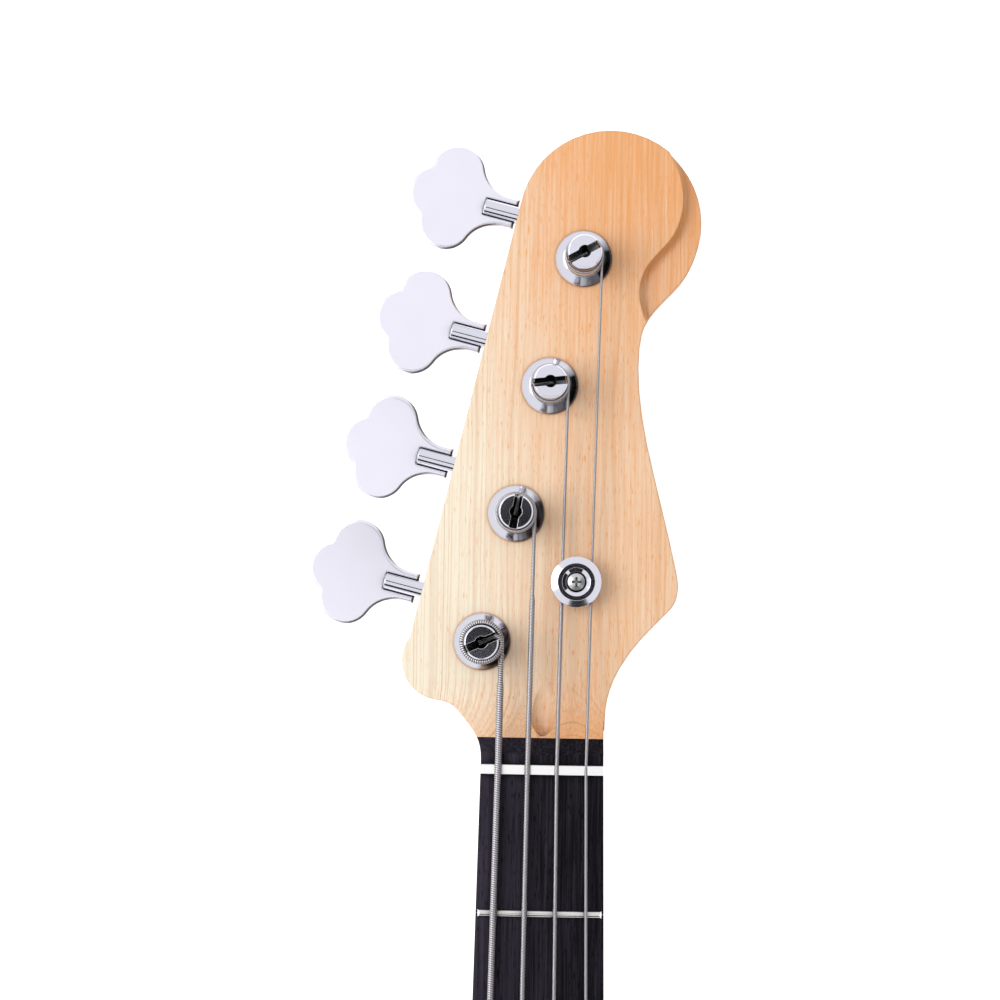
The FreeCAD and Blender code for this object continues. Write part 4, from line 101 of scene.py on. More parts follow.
# Stage, in metres. The camera was fitted to the photograph's viewing angle.
CAMERA_PLACE = Vector((-0.0083506, 0.9249204, 0.9641248))
CAMERA_RIGHT = Vector((0.9998096, 0.0177677, -0.0080709))
CAMERA_UP = Vector((-0.0174517, 0.9991380, 0.0376643))
CAMERA_CLIP = 0.01
SENSOR_WIDTH = 36.0
HEAD_CENTRE = Vector((0.0, 0.985, 0.043))
FLOOR_PLACE = Vector((0, 0.5, -0.0003))
FLOOR_SIZE = 8.0
FLOOR_ROUGHNESS = 0.9
FLOOR_GLOW = 0.68
WHITE = (1, 1, 1, 1)
CARD_BLACK = (0.01, 0.01, 0.01, 1)
CARD_ABOVE = Vector((-0.03, 0.945, 1.05))
DARK_CARDS = (
    ("dark_card_right", Vector((0.55, 0.95, 0.28)), HEAD_CENTRE, 0.8, 0.36),
    ("dark_card_low", Vector((0.05, 0.42, 0.42)), HEAD_CENTRE, 0.7, 0.3),
    ("dark_card_above", CARD_ABOVE, Vector((CARD_ABOVE.x, CARD_ABOVE.y, 0)), 0.26, 0.19),
)
KEY_PLACE, KEY_SIZE = Vector((-0.76, 1.08, 0.92)), 0.85
TOP_PLACE, TOP_SIZE, TOP_SHARE = Vector((0.1, 1.5, 1.6)), 1.2, 0.3


def linear(red, green, blue):
    """Scene-linear colour of an 8-bit screen colour."""
    steps = (red / 255, green / 255, blue / 255)
    return tuple(c / 12.92 if c <= 0.04045 else ((c + 0.055) / 1.055) ** 2.4 for c in steps)


def colour(name, description, default):
    """Colour property of a finish."""
    return FloatVectorProperty(name=name, description=description, default=default, subtype="COLOR",
                               size=3, min=0.0, max=1.0)


def length(name, description, default):
    """Length property in metres."""
    return FloatProperty(name=name, description=description, default=default, unit="LENGTH", min=0.0,
                         precision=5)


def share(name, description, default):
    """Plain property between zero and one."""
    return FloatProperty(name=name, description=description, default=default, subtype="FACTOR",
                         min=0.0, max=1.0)


class BassWoodSettings(bpy.types.PropertyGroup):
    """Colours and grain of the wooden pieces."""

    maple_light: colour("Maple light", "Early wood of the neck", linear(255, 244, 221))
    # Maple dark also gives the painted shade to one side, at the head's end and on edges; the maple line colour
    # also gives the painted shade in closed-in corners.
    maple_dark: colour("Maple dark", "Deep tone of the neck", linear(243, 169, 104))
    maple_line_and_shade: colour("Maple lines", "Ring lines and darkened corners of the neck", linear(204, 140, 76))
    maple_ring: length("Maple ring spacing", "Distance between growth rings", 0.0015)
    board_light: colour("Fingerboard light", "Open grain of the black fingerboard", linear(56, 51, 64))
    board_dark: colour("Fingerboard dark", "Ground of the black fingerboard", linear(9, 8, 12))
    body_black: colour("Body lacquer", "Gloss colour of the body", linear(14, 14, 15))


class BassMetalSettings(bpy.types.PropertyGroup):
    """Colours and polish of the metal pieces."""

    chrome: colour("Chrome", "Reflection colour of the plated hardware", (0.72, 0.72, 0.81))
    nickel: colour("Fret wire", "Reflection colour of the frets", (0.72, 0.71, 0.7))
    string: colour("String metal", "Reflection colour of the winding wire", (0.54, 0.52, 0.55))
    key: colour("Key plating", "Reflection colour of the satin keys", (0.84, 0.83, 0.93))
    steel: colour("Plain steel", "Reflection colour of hidden steel", (0.58, 0.58, 0.59))
    brass: colour("Brass", "Reflection colour of the tuner gears", (0.78, 0.58, 0.27))
    chrome_polish: share("Chrome roughness", "Roughness of polished plating", 0.09)
    key_polish: share("Key roughness", "Roughness of the finger-worn keys", 0.2)
    wrap_pitch: length("Wrap pitch", "Distance between turns of the thickest string's winding wire", 0.00078)


class BassPlasticSettings(bpy.types.PropertyGroup):
    """Colours of the nut and the plastic pieces."""

    bone: colour("Nut", "White nut", linear(253, 253, 253))
    pearl: colour("Dots", "Pearly position dots", linear(236, 233, 224))
    guard: colour("Pickguard", "White pickguard", linear(238, 236, 228))
    black: colour("Black plastic", "Pickup covers", linear(22, 22, 23))
    copper: colour("Coil", "Enamelled copper winding", linear(150, 78, 42))
    amber: colour("Capacitor", "Dipped capacitor", linear(170, 96, 40))
    cloth: colour("Wire", "Cloth covered hookup wire", linear(38, 36, 33))


class BassStageSettings(bpy.types.PropertyGroup):
    """Light, floor and camera."""

    floor: colour("Floor", "Pale studio floor", linear(244, 244, 245))
    key_power: FloatProperty(name="Key light", description="Power of the big light on the left",
                             default=8.3, min=0.0, unit="POWER")
    ambient: share("Ambient", "Strength of the soft light from all round", 0.5)
    lens: FloatProperty(name="Lens", description="Focal length on a 36 mm sensor", default=93.6, min=1.0,
                        unit="CAMERA")


def place(tree, kind, values=None, **settings):
    """Add a node, set its settings, and set or link its inputs."""
    node = tree.nodes.new(kind)
    for key, value in settings.items():
        setattr(node, key, value)
    for key, value in (values or {}).items():
        if isinstance(value, bpy.types.NodeSocket):
            tree.links.new(value, node.inputs[key])
        else:
            node.inputs[key].default_value = value
    return node


def maths(tree, operation, *parts):
    """Result of a calculation with up to three values."""
    return place(tree, "ShaderNodeMath", dict(enumerate(parts)), operation=operation).outputs[0]


def vectors(tree, operation, *parts):
    """Result of a calculation with up to three vectors."""
    node = place(tree, "ShaderNodeVectorMath", dict(enumerate(parts)), operation=operation)
    return node.outputs["Value" if operation == "DOT_PRODUCT" else "Vector"]


def total(tree, first, *others):
    """Sum of several values."""
    for other in others:
        first = maths(tree, "ADD", first, other)
    return first


def radius(tree, first, second):
    """Length of the diagonal over two crossed distances."""
    squares = (maths(tree, "POWER", first, 2.0), maths(tree, "POWER", second, 2.0))
    return maths(tree, "SQRT", total(tree, *squares))


def ramp(tree, value, limits, top=1.0, **settings):
    """Value led from zero at the first limit to a top at the second."""
    values = {"Value": value, "From Min": limits[0], "From Max": limits[1], "To Max": top}
    return place(tree, "ShaderNodeMapRange", values, **settings).outputs[0]


def noise(tree, spot, scale, detail, distortion=0.0):
    """Outputs of a noise over a place."""
    values = {"Vector": spot, "Scale": scale, "Detail": detail, "Distortion": distortion}
    return place(tree, "ShaderNodeTexNoise", values).outputs


def stretched(tree, spot, scale):
    """Place scaled by its own amount on each axis."""
    return place(tree, "ShaderNodeMapping", {"Vector": spot, "Scale": scale}).outputs[0]


def object_spot(tree):
    """Place in the shared frame."""
    return place(tree, "ShaderNodeTexCoord").outputs["Object"]


def axes_of(tree, vector):
    """Three parts of a vector."""
    return place(tree, "ShaderNodeSeparateXYZ", {0: vector}).outputs


def soft_normal(tree, size):
    """Surface normal with its edges rounded over."""
    return place(tree, "ShaderNodeBevel", {"Radius": size}, samples=EFFECT_SAMPLES).outputs[0]


def mixed_colour(tree, factor, first, second):
    """Colour between two others."""
    return place(tree, "ShaderNodeMix", {0: factor, 6: first, 7: second}, data_type="RGBA").outputs[2]


def new_group(name, inputs, outputs):
    """Empty shader group with named inputs and outputs."""
    tree = bpy.data.node_groups.new(name, "ShaderNodeTree")
    for label, kind, default in inputs:
        made = tree.interface.new_socket(label, in_out="INPUT", socket_type=kind)
        made.default_value = default
    for label, kind in outputs:
        tree.interface.new_socket(label, in_out="OUTPUT", socket_type=kind)
    return tree, tree.nodes.new("NodeGroupInput").outputs, tree.nodes.new("NodeGroupOutput").inputs


def wood_grain():
    """Growth rings round a line along the neck, fibres and flecks, and painted shade that deepens the tone by
    place.
    """
    tree, given, result = new_group("Wood grain", [
        ("Light", "NodeSocketColor", (0.8, 0.6, 0.4, 1)),
        ("Dark", "NodeSocketColor", (0.6, 0.4, 0.2, 1)),
        ("Line", "NodeSocketColor", (0.5, 0.3, 0.1, 1)),
        ("Ring spacing", "NodeSocketFloat", 0.004),
        ("Heart x", "NodeSocketFloat", 0.0),
        ("Heart z", "NodeSocketFloat", 0.08),
        ("Ring strength", "NodeSocketFloat", 0.5),
        ("Fibre strength", "NodeSocketFloat", 0.3),
        ("Side shade", "NodeSocketFloat", 0.0),
        ("End shade", "NodeSocketFloat", 0.0),
        ("Cut shade", "NodeSocketFloat", 0.0),
        ("Edge shade", "NodeSocketFloat", 0.0),
    ], [("Color", "NodeSocketColor"), ("Height", "NodeSocketFloat")])
    spot = object_spot(tree)
    facing = place(tree, "ShaderNodeNewGeometry").outputs["Normal"]
    lengthwise = maths(tree, "ABSOLUTE", axes_of(tree, facing)["Y"])

    # Rings, uneven from year to year, that show most where the wood is cut across them.
    slow = stretched(tree, spot, SWAY_SCALE)
    sway = vectors(tree, "SUBTRACT", noise(tree, slow, 1.0, 2.0)["Color"], (0.5, 0.5, 0.5))
    bent = axes_of(tree, vectors(tree, "MULTIPLY_ADD", sway, SWAY_REACH, spot))
    across = maths(tree, "SUBTRACT", bent["X"], given["Heart x"])
    above = maths(tree, "SUBTRACT", bent["Z"], given["Heart z"])
    reach = radius(tree, across, above)
    even = maths(tree, "DIVIDE", reach, given["Ring spacing"])
    step = maths(tree, "MULTIPLY", even, YEAR_STEP)
    years = place(tree, "ShaderNodeTexNoise", {"W": step, "Scale": 1.0, "Detail": 1.0}, noise_dimensions="1D")
    turns = maths(tree, "MULTIPLY_ADD", years.outputs["Fac"], YEAR_SPREAD, even)
    wave = maths(tree, "COSINE", maths(tree, "MULTIPLY", turns, 2 * math.pi))
    line = maths(tree, "POWER", maths(tree, "MULTIPLY_ADD", wave, 0.5, 0.5), LINE_SHARPNESS)
    year = maths(tree, "FLOOR", maths(tree, "ADD", turns, 0.5))
    growth = place(tree, "ShaderNodeTexWhiteNoise", {"W": year}, noise_dimensions="1D").outputs["Value"]
    grown = maths(tree, "MULTIPLY", line, maths(tree, "MULTIPLY_ADD", growth, GROWTH_SPREAD, GROWTH_LEAST))
    steep = maths(tree, "ABSOLUTE", maths(tree, "DIVIDE", across, reach))
    crossed = maths(tree, "MINIMUM", maths(tree, "MULTIPLY_ADD", lengthwise, CUT_GAIN, steep), 1.0)
    late = maths(tree, "MULTIPLY", grown, crossed)
    broad = noise(tree, slow, PATCH_SCALE, 3.0)["Fac"]
    ring_part = maths(tree, "MULTIPLY", maths(tree, "MULTIPLY", late, broad), given["Ring strength"])

    # Fibres and short flecks.
    fibre = noise(tree, stretched(tree, spot, FIBRE_SCALE), 1.0, 3.0)["Fac"]
    fleck = noise(tree, stretched(tree, spot, FLECK_SCALE), 1.0, 1.0)["Fac"]
    fibre_part = maths(tree, "MULTIPLY", maths(tree, "SUBTRACT", fibre, 0.5), given["Fibre strength"])
    fleck_strength = maths(tree, "MULTIPLY", given["Fibre strength"], FLECK_SHARE)
    fleck_part = maths(tree, "MULTIPLY", ramp(tree, fleck, FLECK_RANGE), fleck_strength)

    # Painted shade to one side, toward the head's end and on edges; end grain darker, partly its own deeper tone
    # and partly painted shade.
    here = axes_of(tree, spot)
    side = ramp(tree, here["X"], SIDE_RANGE, given["Side shade"], interpolation_type="SMOOTHSTEP")
    end = ramp(tree, here["Y"], END_RANGE, given["End shade"])
    cut = maths(tree, "MULTIPLY", lengthwise, given["Cut shade"])
    turned = vectors(tree, "DOT_PRODUCT", soft_normal(tree, EDGE_RADIUS), facing)
    edge = ramp(tree, turned, EDGE_RANGE, given["Edge shade"])

    mixed = total(tree, fibre_part, fleck_part, cut, side, end, edge)
    tone = mixed_colour(tree, mixed, given["Light"], given["Dark"])
    tree.links.new(mixed_colour(tree, ring_part, tone, given["Line"]), result["Color"])
    tree.links.new(total(tree, ring_part, fibre_part, fleck_part), result["Height"])


def recess_shade():
    """Painted shade that darkens slots and corners where they are closed in."""
    tree, given, result = new_group("Recess shade", [
        ("Unshaded", "NodeSocketColor", (0.8, 0.8, 0.8, 1)),
        ("Painted shade", "NodeSocketColor", (0.05, 0.05, 0.05, 1)),
        ("Reach", "NodeSocketFloat", 0.003),
    ], [("Color", "NodeSocketColor")])
    openness = place(tree, "ShaderNodeAmbientOcclusion", {"Distance": given["Reach"]}, samples=EFFECT_SAMPLES)
    bright_share = ramp(tree, openness.outputs["AO"], OPEN_RANGE)
    tree.links.new(mixed_colour(tree, bright_share, given["Painted shade"], given["Unshaded"]), result["Color"])


def painted_flank_shade():
    """Painted shade on plating where a rounded edge leans to the right and toward the body, set by direction, not
    by the lamps.
    """
    tree, given, result = new_group("Painted flank shade", [
        ("Unshaded", "NodeSocketColor", (0.8, 0.8, 0.8, 1)),
        ("Dark", "NodeSocketColor", (0.05, 0.05, 0.05, 1)),
        ("Radius", "NodeSocketFloat", 0.001),
    ], [("Color", "NodeSocketColor")])
    lean = vectors(tree, "DOT_PRODUCT", soft_normal(tree, given["Radius"]), PAINTED_FLANK_SIDE)
    flank_shade_share = ramp(tree, lean, PAINTED_FLANK_RANGE)
    tree.links.new(mixed_colour(tree, flank_shade_share, given["Unshaded"], given["Dark"]), result["Color"])


def handling():
    """Smudges and hair scratches of a handled surface, as roughness and height."""
    tree, given, result = new_group("Handling", [
        ("Roughness", "NodeSocketFloat", 0.1),
        ("Spread", "NodeSocketFloat", 0.05),
        ("Smudge scale", "NodeSocketFloat", 60.0),
        ("Scratch scale", "NodeSocketFloat", 900.0),
    ], [("Roughness", "NodeSocketFloat"), ("Height", "NodeSocketFloat")])
    spot = object_spot(tree)
    smudge = noise(tree, spot, given["Smudge scale"], 4.0)["Fac"]
    hair = noise(tree, spot, given["Scratch scale"], 3.0, 2.0)["Fac"]
    swing = maths(tree, "MULTIPLY", maths(tree, "SUBTRACT", smudge, 0.5), given["Spread"])
    tree.links.new(maths(tree, "ADD", given["Roughness"], swing), result["Roughness"])
    tree.links.new(hair, result["Height"])


def wire_winding():
    """Round turns of wire wound along a string, with dirt and painted shade between them."""
    tree, given, result = new_group("Wire winding", [
        ("Pitch", "NodeSocketFloat", 0.0004),
        ("Metal", "NodeSocketColor", (0.7, 0.7, 0.7, 1)),
        ("Dirt and shade", "NodeSocketColor", (0.2, 0.2, 0.2, 1)),
        ("Post", "NodeSocketVector", (0, 0, 0)),
        ("Wrap radius", "NodeSocketFloat", 0.007),
    ], [("Color", "NodeSocketColor"), ("Height", "NodeSocketFloat")])
    spot = object_spot(tree)
    here = axes_of(tree, spot)
    slant = maths(tree, "ADD", here["Y"], maths(tree, "MULTIPLY", here["X"], WINDING_SLANT))
    from_post = axes_of(tree, vectors(tree, "SUBTRACT", spot, given["Post"]))
    angle = maths(tree, "ARCTAN2", from_post["Y"], from_post["X"])
    reach = radius(tree, from_post["X"], from_post["Y"])
    wrapped = maths(tree, "LESS_THAN", reach, maths(tree, "MULTIPLY", given["Wrap radius"], WRAP_LIMIT))
    arc = maths(tree, "MULTIPLY", angle, given["Wrap radius"])
    along = place(tree, "ShaderNodeMix", {0: wrapped, 2: slant, 3: arc}).outputs[0]
    saw = maths(tree, "FRACT", maths(tree, "DIVIDE", along, given["Pitch"]))
    offset = maths(tree, "SUBTRACT", maths(tree, "MULTIPLY", saw, 2.0), 1.0)
    crest = maths(tree, "SQRT", maths(tree, "SUBTRACT", 1.0, maths(tree, "POWER", offset, 2.0)))
    bright_share = maths(tree, "POWER", crest, DIRT_AND_SHADE_SHARPNESS)
    tree.links.new(mixed_colour(tree, bright_share, given["Dirt and shade"], given["Metal"]), result["Color"])
    tree.links.new(crest, result["Height"])


def new_material(name):
    """Material with a Principled shader, its tree and that shader."""
    material = bpy.data.materials.new(name)
    material.use_nodes = True
    tree = material.node_tree
    return material, tree, tree.nodes["Principled BSDF"]


def use_group(tree, name, values):
    """Place a shared shader group with its own values."""
    node = tree.nodes.new("ShaderNodeGroup")
    node.node_tree = bpy.data.node_groups[name]
    for key, value in values.items():
        node.inputs[key].default_value = value
    return node


def rgba(three, strength=1.0):
    """Opaque colour of a three-part property, optionally darkened."""
    return (*(part * strength for part in three), 1.0)


def dress(nodes, material):
    """Give solids one finish."""
    for name in nodes:
        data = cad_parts[name].data
        data.materials.clear()
        data.materials.append(material)


def each_string(*stems):
    """Names of the pieces that there is one of for each string."""
    return [stem + string for stem in stems for string in STRINGS]


def bumped(tree, shader, height, strength, distance, rounding=0.0):
    """Lead a height through a bump, and optionally softened edges, to a shader's normal."""
    values = {"Height": height, "Strength": strength, "Distance": distance}
    if rounding > 0:
        values["Normal"] = soft_normal(tree, rounding)
    bump = place(tree, "ShaderNodeBump", values)
    tree.links.new(bump.outputs[0], shader.inputs["Normal"])


def wood_material(name, light, dark, painted_shade_tone, grain, roughness, coat, bump, rounding, shine=0.5):
    """Lacquered or oiled wood from the shared grain, darker with painted shade where it is closed in."""
    material, tree, shader = new_material(name)
    figure = use_group(tree, "Wood grain", {"Light": rgba(light), "Dark": rgba(dark), "Line": rgba(painted_shade_tone), **grain})
    wear = use_group(tree, "Handling", {"Roughness": roughness, "Spread": 0.08, "Smudge scale": 30.0,
                                        "Scratch scale": 500.0})
    # Painted shade where the wood is closed in, in the same tone as the ring lines.
    shaded_in_recess = use_group(tree, "Recess shade", {"Painted shade": rgba(painted_shade_tone), "Reach": WOOD_SHADE_REACH})
    tree.links.new(figure.outputs["Color"], shaded_in_recess.inputs["Unshaded"])
    tree.links.new(shaded_in_recess.outputs["Color"], shader.inputs["Base Color"])
    tree.links.new(wear.outputs["Roughness"], shader.inputs["Roughness"])
    shader.inputs["Specular IOR Level"].default_value = shine
    shader.inputs["Coat Weight"].default_value = coat
    shader.inputs["Coat Roughness"].default_value = WOOD_COAT_ROUGHNESS
    bumped(tree, shader, figure.outputs["Height"], bump, WOOD_BUMP_DEPTH, rounding)
    return material


def metal_material(name, tint, roughness, spread, rounding=0.0, shade_reach=0.004, painted_shade_tone=0.08, flank=None):
    """Plated or plain metal with smudges, painted shade where it is closed in, and optionally painted shade on
    edges that lean to the right and toward the body.
    """
    material, tree, shader = new_material(name)
    wear = use_group(tree, "Handling", {"Roughness": roughness, "Spread": spread, "Smudge scale": 90.0,
                                        "Scratch scale": 1500.0})
    shaded_in_recess = use_group(tree, "Recess shade", {"Unshaded": rgba(tint), "Painted shade": rgba(tint, painted_shade_tone), "Reach": shade_reach})
    plating = shaded_in_recess.outputs["Color"]
    if flank is not None:
        shaded = use_group(tree, "Painted flank shade", {"Dark": rgba(tint, flank), "Radius": rounding})
        tree.links.new(plating, shaded.inputs["Unshaded"])
        plating = shaded.outputs["Color"]
    tree.links.new(plating, shader.inputs["Base Color"])
    shader.inputs["Metallic"].default_value = 1.0
    tree.links.new(wear.outputs["Roughness"], shader.inputs["Roughness"])
    bumped(tree, shader, wear.outputs["Height"], METAL_BUMP, SCRATCH_DEPTH, rounding)
    return material


def plastic_material(name, tint, roughness, coat, rounding=0.0):
    """Moulded or lacquered surface with slight unevenness."""
    material, tree, shader = new_material(name)
    wear = use_group(tree, "Handling", {"Roughness": roughness, "Spread": 0.12, "Smudge scale": 70.0,
                                        "Scratch scale": 1200.0})
    shader.inputs["Base Color"].default_value = rgba(tint)
    tree.links.new(wear.outputs["Roughness"], shader.inputs["Roughness"])
    shader.inputs["Coat Weight"].default_value = coat
    bumped(tree, shader, wear.outputs["Height"], PLASTIC_BUMP, SCRATCH_DEPTH, rounding)
    return material


def string_material(string, size):
    """Wire-wound finish of one string, its turns running round its own post."""
    metal = bpy.context.scene.bass_metal
    material, tree, shader = new_material("Wound string " + string)
    low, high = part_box("tuner_post_" + string)
    pitch = metal.wrap_pitch * size
    turns = use_group(tree, "Wire winding", {"Pitch": pitch, "Metal": rgba(metal.string), "Dirt and shade": STRING_DIRT_AND_SHADE,
                                             "Post": [(a + b) / 2 for a, b in zip(low, high)]})
    # Painted shade where the string is closed in, as in its post's slot.
    shaded_in_recess = use_group(tree, "Recess shade", {"Painted shade": STRING_SHADE, "Reach": STRING_SHADE_REACH})
    tree.links.new(turns.outputs["Color"], shaded_in_recess.inputs["Unshaded"])
    tree.links.new(shaded_in_recess.outputs["Color"], shader.inputs["Base Color"])
    shader.inputs["Metallic"].default_value = 1.0
    shader.inputs["Roughness"].default_value = STRING_ROUGHNESS
    bumped(tree, shader, turns.outputs["Height"], 1.0, pitch / 3)
    return material


def cut_piece(name, node, axis, low, high):
    """Closed copy of a solid between two planes across an axis."""
    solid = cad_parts[node]
    form = bmesh.new()
    form.from_mesh(solid.data)
    bmesh.ops.remove_doubles(form, verts=form.verts[:], dist=WELD_REACH)
    for bound, side in ((low, -1.0), (high, 1.0)):
        spot, normal = Vector(), Vector()
        spot[axis], normal[axis] = bound, side
        everything = form.verts[:] + form.edges[:] + form.faces[:]
        cut = bmesh.ops.bisect_plane(form, geom=everything, plane_co=spot, plane_no=normal, clear_outer=True)
        rim = [part for part in cut["geom_cut"] if isinstance(part, bmesh.types.BMEdge)]
        if rim:
            bmesh.ops.holes_fill(form, edges=rim)
    mesh = bpy.data.meshes.new(name)
    form.to_mesh(mesh)
    form.free()
    # The solid's own normals don't fit its welded and cut copy.
    if "custom_normal" in mesh.attributes:
        mesh.attributes.remove(mesh.attributes["custom_normal"])
    mesh.shade_smooth()
    mesh.set_sharp_from_angle(angle=SHARP_ANGLE)
    mesh.materials.append(solid.data.materials[0])
    piece = bpy.data.objects.new(name, mesh)
    bpy.context.collection.objects.link(piece)
    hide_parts(node)
    return piece


class BASS_OT_shared_effects(bpy.types.Operator):
    """Build the shader groups that several finishes share"""

    bl_idname = "bass.shared_effects"
    bl_label = "Shared effects"

    def execute(self, context):
        wood_grain()
        recess_shade()
        painted_flank_shade()
        handling()
        wire_winding()
        return {"FINISHED"}


class BASS_OT_woods(bpy.types.Operator):
    """Finish the neck, the fingerboard and the body"""

    bl_idname = "bass.woods"
    bl_label = "Woods"

    def execute(self, context):
        wood = context.scene.bass_wood
        # Side, end and edge shade are painted shade; cut shade darkens end grain, partly as its own deeper tone and
        # partly as painted shade.
        maple_grain = {"Ring spacing": wood.maple_ring, "Heart x": 0.007, "Heart z": 0.074, "Ring strength": 0.8,
                       "Fibre strength": 0.85, "Side shade": 0.58, "End shade": 0.34, "Cut shade": 0.6,
                       "Edge shade": 0.6}
        board_grain = {"Ring spacing": 0.003, "Heart x": 0.06, "Heart z": -0.05, "Ring strength": 0.6,
                       "Fibre strength": 2.0, "Side shade": 0.75}
        dress(["neck"], wood_material("Maple", wood.maple_light, wood.maple_dark, wood.maple_line_and_shade, maple_grain,
                                      roughness=0.36, coat=0.15, bump=0.06, rounding=0.0009))
        dress(["fingerboard"], wood_material("Black fingerboard", wood.board_light, wood.board_dark,
                                             wood.board_dark, board_grain, roughness=0.42, coat=0.0, bump=0.15,
                                             rounding=0.0008, shine=0.06))
        dress(["body"], plastic_material("Body lacquer", wood.body_black, roughness=0.2, coat=0.15, rounding=0.001))
        return {"FINISHED"}


class BASS_OT_hardware(bpy.types.Operator):
    """Finish the plated hardware, frets, gears and hidden steel"""

    bl_idname = "bass.hardware"
    bl_label = "Hardware"

    def execute(self, context):
        metal = context.scene.bass_metal
        polished = {"tint": metal.chrome, "roughness": metal.chrome_polish, "spread": 0.05}
        dress(each_string("saddle_", "tuner_worm_")
              + ["tuner_plates", "tuner_screws", "control_nuts", "volume_knob", "tone_knob", "volume_shaft",
                 "tone_shaft", "output_jack", "bridge_plate", "bridge_screws", "intonation_screws",
                 "intonation_springs", "strap_buttons", "neck_ferrules", "pickguard_screws", "pickup_screws"],
              metal_material("Chrome", **polished, rounding=0.0002))
        # Retainer and posts: painted shade in their slots, with a reach of its own.
        dress(["string_retainer"],
              metal_material("Retainer chrome", **polished, rounding=0.0002, shade_reach=0.0012))
        # Bushings and keys: painted shade on rounded edges that lean to the right and toward the body.
        dress(["tuner_bushings"], metal_material("Bushing chrome", **polished, rounding=0.0016, flank=0.15))
        dress(each_string("tuner_post_"),
              metal_material("Post chrome", **polished, rounding=0.0002, shade_reach=0.006, painted_shade_tone=0.015))
        dress(each_string("tuner_key_"),
              metal_material("Satin key plating", metal.key, metal.key_polish, spread=0.12, rounding=0.0009,
                             flank=0.12))
        dress(each_string("tuner_gear_"),
              metal_material("Gear brass", metal.brass, roughness=0.3, spread=0.2, rounding=0.0001))
        dress(["frets"], metal_material("Fret wire", metal.nickel, roughness=0.16, spread=0.1))
        dress(["truss_rod", "truss_rod_nut", "pots", "pickup_poles", "neck_screws", "strap_screws",
               "string_retainer_screw"], metal_material("Plain steel", metal.steel, roughness=0.35, spread=0.2))
        return {"FINISHED"}


class BASS_OT_strings(bpy.types.Operator):
    """Finish the four wound strings and cut each into a head, a span and a tail piece"""

    bl_idname = "bass.strings"
    bl_label = "Strings"

    def execute(self, context):
        for string, size in zip(STRINGS, WINDING_SIZES):
            node, post, saddle = "string_" + string, "post_" + string, "bridge_saddle_" + string
            dress([node], string_material(string, size))
            rear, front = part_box("saddle_" + string)
            crest_y = (rear[1] + front[1]) / 2
            wound = cut_piece("string_head_" + string, node, ALONG, STRING_SPLIT, FAR)
            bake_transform(wound)
            span = cut_piece("string_span_" + string, node, ALONG, crest_y, STRING_SPLIT)
            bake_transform(span)
            tail = cut_piece("string_tail_" + string, node, ALONG, -FAR, crest_y)
            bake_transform(tail)
        return {"FINISHED"}


class BASS_OT_springs(bpy.types.Operator):
    """Cut out the piece of the intonation springs that lies between each saddle's sides"""

    bl_idname = "bass.springs"
    bl_label = "Intonation springs"

    def execute(self, context):
        for string in STRINGS:
            low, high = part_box("saddle_" + string)
            spring = cut_piece("spring_" + string, "intonation_springs", ACROSS, low[0], high[0])
            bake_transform(spring)
        return {"FINISHED"}


class BASS_OT_plastics(bpy.types.Operator):
    """Finish the nut, dots, pickguard, pickup and wiring"""

    bl_idname = "bass.plastics"
    bl_label = "Nut and plastics"

    def execute(self, context):
        plastic = context.scene.bass_plastic
        for node, name, tint, roughness, coat, rounding in (
            ("nut", "Nut bone", plastic.bone, 0.35, 0.1, 0.0002),
            ("position_dots", "Pearl dots", plastic.pearl, 0.2, 0.5, 0.0),
            ("pickguard", "Pickguard white", plastic.guard, 0.2, 0.4, 0.0002),
            ("pickup_covers", "Pickup black", plastic.black, 0.35, 0.1, 0.0),
            ("pickup_coils", "Coil copper", plastic.copper, 0.3, 0.3, 0.0),
            ("tone_capacitor", "Capacitor amber", plastic.amber, 0.4, 0.2, 0.0),
            ("hookup_wires", "Wire cloth", plastic.cloth, 0.8, 0.0, 0.0),
        ):
            dress([node], plastic_material(name, tint, roughness, coat, rounding))
        return {"FINISHED"}


def aimed(place_at, target):
    """Matrix of a light or card at a place, its -Z towards a target."""
    turn = (target - place_at).to_track_quat("-Z", "Y")
    return Matrix.Translation(place_at) @ turn.to_matrix().to_4x4()


def area_light(name, place_at, size, power):
    """Square soft light aimed at the headstock."""
    light = bpy.data.lights.new(name, "AREA")
    light.size = size
    light.energy = power
    lamp = bpy.data.objects.new(name, light)
    lamp.matrix_world = aimed(place_at, HEAD_CENTRE)
    bpy.context.collection.objects.link(lamp)
    return lamp


def flat_card(name, matrix, width, height, material):
    """Rectangle of the stage."""
    half_w, half_h = width / 2, height / 2
    mesh = bpy.data.meshes.new(name)
    corners = [(-half_w, -half_h, 0), (half_w, -half_h, 0), (half_w, half_h, 0), (-half_w, half_h, 0)]
    mesh.from_pydata(corners, [], [(0, 1, 2, 3)])
    mesh.materials.append(material)
    card = bpy.data.objects.new(name, mesh)
    card.matrix_world = matrix
    bpy.context.collection.objects.link(card)
    return card


def seen_rays(tree):
    """One for rays that show a surface, straight or in a reflection, and zero for rays that light others."""
    path = place(tree, "ShaderNodeLightPath").outputs
    bounced = maths(tree, "MAXIMUM", path["Is Glossy Ray"], path["Is Transmission Ray"])
    return maths(tree, "MAXIMUM", path["Is Camera Ray"], bounced)


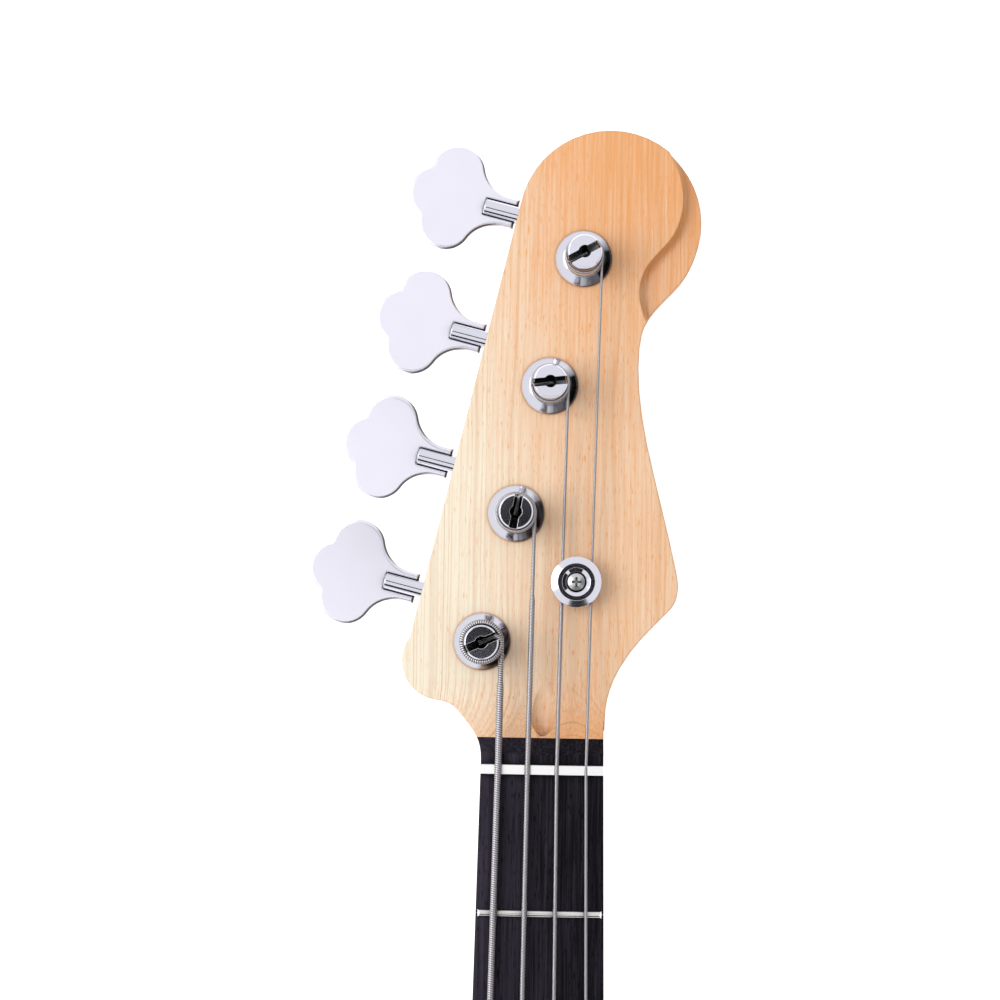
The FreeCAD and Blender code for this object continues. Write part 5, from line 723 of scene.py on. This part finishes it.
class BASS_OT_stage(bpy.types.Operator):
    """Set up floor, soft light, dark cards and camera"""

    bl_idname = "bass.stage"
    bl_label = "Stage"

    def execute(self, context):
        stage = context.scene.bass_stage
        context.scene.view_settings.view_transform = "Standard"
        world = bpy.data.worlds.new("Studio")
        context.scene.world = world
        world.use_nodes = True
        tree = world.node_tree
        lift = maths(tree, "MULTIPLY", seen_rays(tree), 1.0 - stage.ambient)
        tree.links.new(maths(tree, "ADD", lift, stage.ambient), tree.nodes["Background"].inputs["Strength"])
        tree.nodes["Background"].inputs["Color"].default_value = WHITE

        pale, tree, shader = new_material("Studio floor")
        shader.inputs["Base Color"].default_value = rgba(stage.floor)
        shader.inputs["Roughness"].default_value = FLOOR_ROUGHNESS
        shader.inputs["Emission Color"].default_value = WHITE
        tree.links.new(maths(tree, "MULTIPLY", seen_rays(tree), FLOOR_GLOW), shader.inputs["Emission Strength"])
        flat_card("studio_floor", Matrix.Translation(FLOOR_PLACE), FLOOR_SIZE, FLOOR_SIZE, pale)

        black, _, shader = new_material("Dark card")
        shader.inputs["Base Color"].default_value = CARD_BLACK
        shader.inputs["Roughness"].default_value = 1.0
        for name, where, aim, width, height in DARK_CARDS:
            card = flat_card(name, aimed(where, aim), width, height, black)
            card.visible_camera = False
            card.visible_diffuse = False
            card.visible_shadow = False

        area_light("key_light", KEY_PLACE, KEY_SIZE, stage.key_power)
        top = area_light("top_light", TOP_PLACE, TOP_SIZE, stage.key_power * TOP_SHARE)
        top.visible_glossy = False

        camera = bpy.data.cameras.new("camera")
        camera.sensor_width = SENSOR_WIDTH
        camera.lens = stage.lens
        camera.clip_start = CAMERA_CLIP
        eye = bpy.data.objects.new("camera", camera)
        back = CAMERA_RIGHT.cross(CAMERA_UP)
        turn = Matrix((CAMERA_RIGHT, CAMERA_UP, back)).transposed().to_4x4()
        eye.matrix_world = Matrix.Translation(CAMERA_PLACE) @ turn
        context.collection.objects.link(eye)
        context.scene.camera = eye
        return {"FINISHED"}


class BASS_PT_panel(bpy.types.Panel):
    """Bass guitar tools"""

    bl_idname = "BASS_PT_panel"
    bl_label = "Bass guitar"
    bl_space_type = "VIEW_3D"
    bl_region_type = "UI"
    bl_category = "Bass"

    def draw(self, context):
        scene = context.scene
        for group in (scene.bass_wood, scene.bass_metal, scene.bass_plastic, scene.bass_stage):
            box = self.layout.box()
            for key in group.__annotations__:
                box.prop(group, key)
        for operator in OPERATORS:
            self.layout.operator(operator.bl_idname)


SETTINGS = {"bass_wood": BassWoodSettings, "bass_metal": BassMetalSettings,
            "bass_plastic": BassPlasticSettings, "bass_stage": BassStageSettings}
OPERATORS = (BASS_OT_shared_effects, BASS_OT_woods, BASS_OT_hardware, BASS_OT_strings, BASS_OT_springs,
             BASS_OT_plastics, BASS_OT_stage)


def register():
    """Make the settings, operators and panel known."""
    for name, group in SETTINGS.items():
        bpy.utils.register_class(group)
        setattr(bpy.types.Scene, name, PointerProperty(type=group))
    for operator in OPERATORS:
        bpy.utils.register_class(operator)
    bpy.utils.register_class(BASS_PT_panel)


def unregister():
    """Take them away again."""
    bpy.utils.unregister_class(BASS_PT_panel)
    for operator in reversed(OPERATORS):
        bpy.utils.unregister_class(operator)
    for name, group in SETTINGS.items():
        delattr(bpy.types.Scene, name)
        bpy.utils.unregister_class(group)


def main():
    """Build everything in order."""
    register()
    bpy.ops.bass.shared_effects()
    bpy.ops.bass.woods()
    bpy.ops.bass.hardware()
    bpy.ops.bass.strings()
    bpy.ops.bass.springs()
    bpy.ops.bass.plastics()
    bpy.ops.bass.stage()


if __name__ == "__main__":
    main()
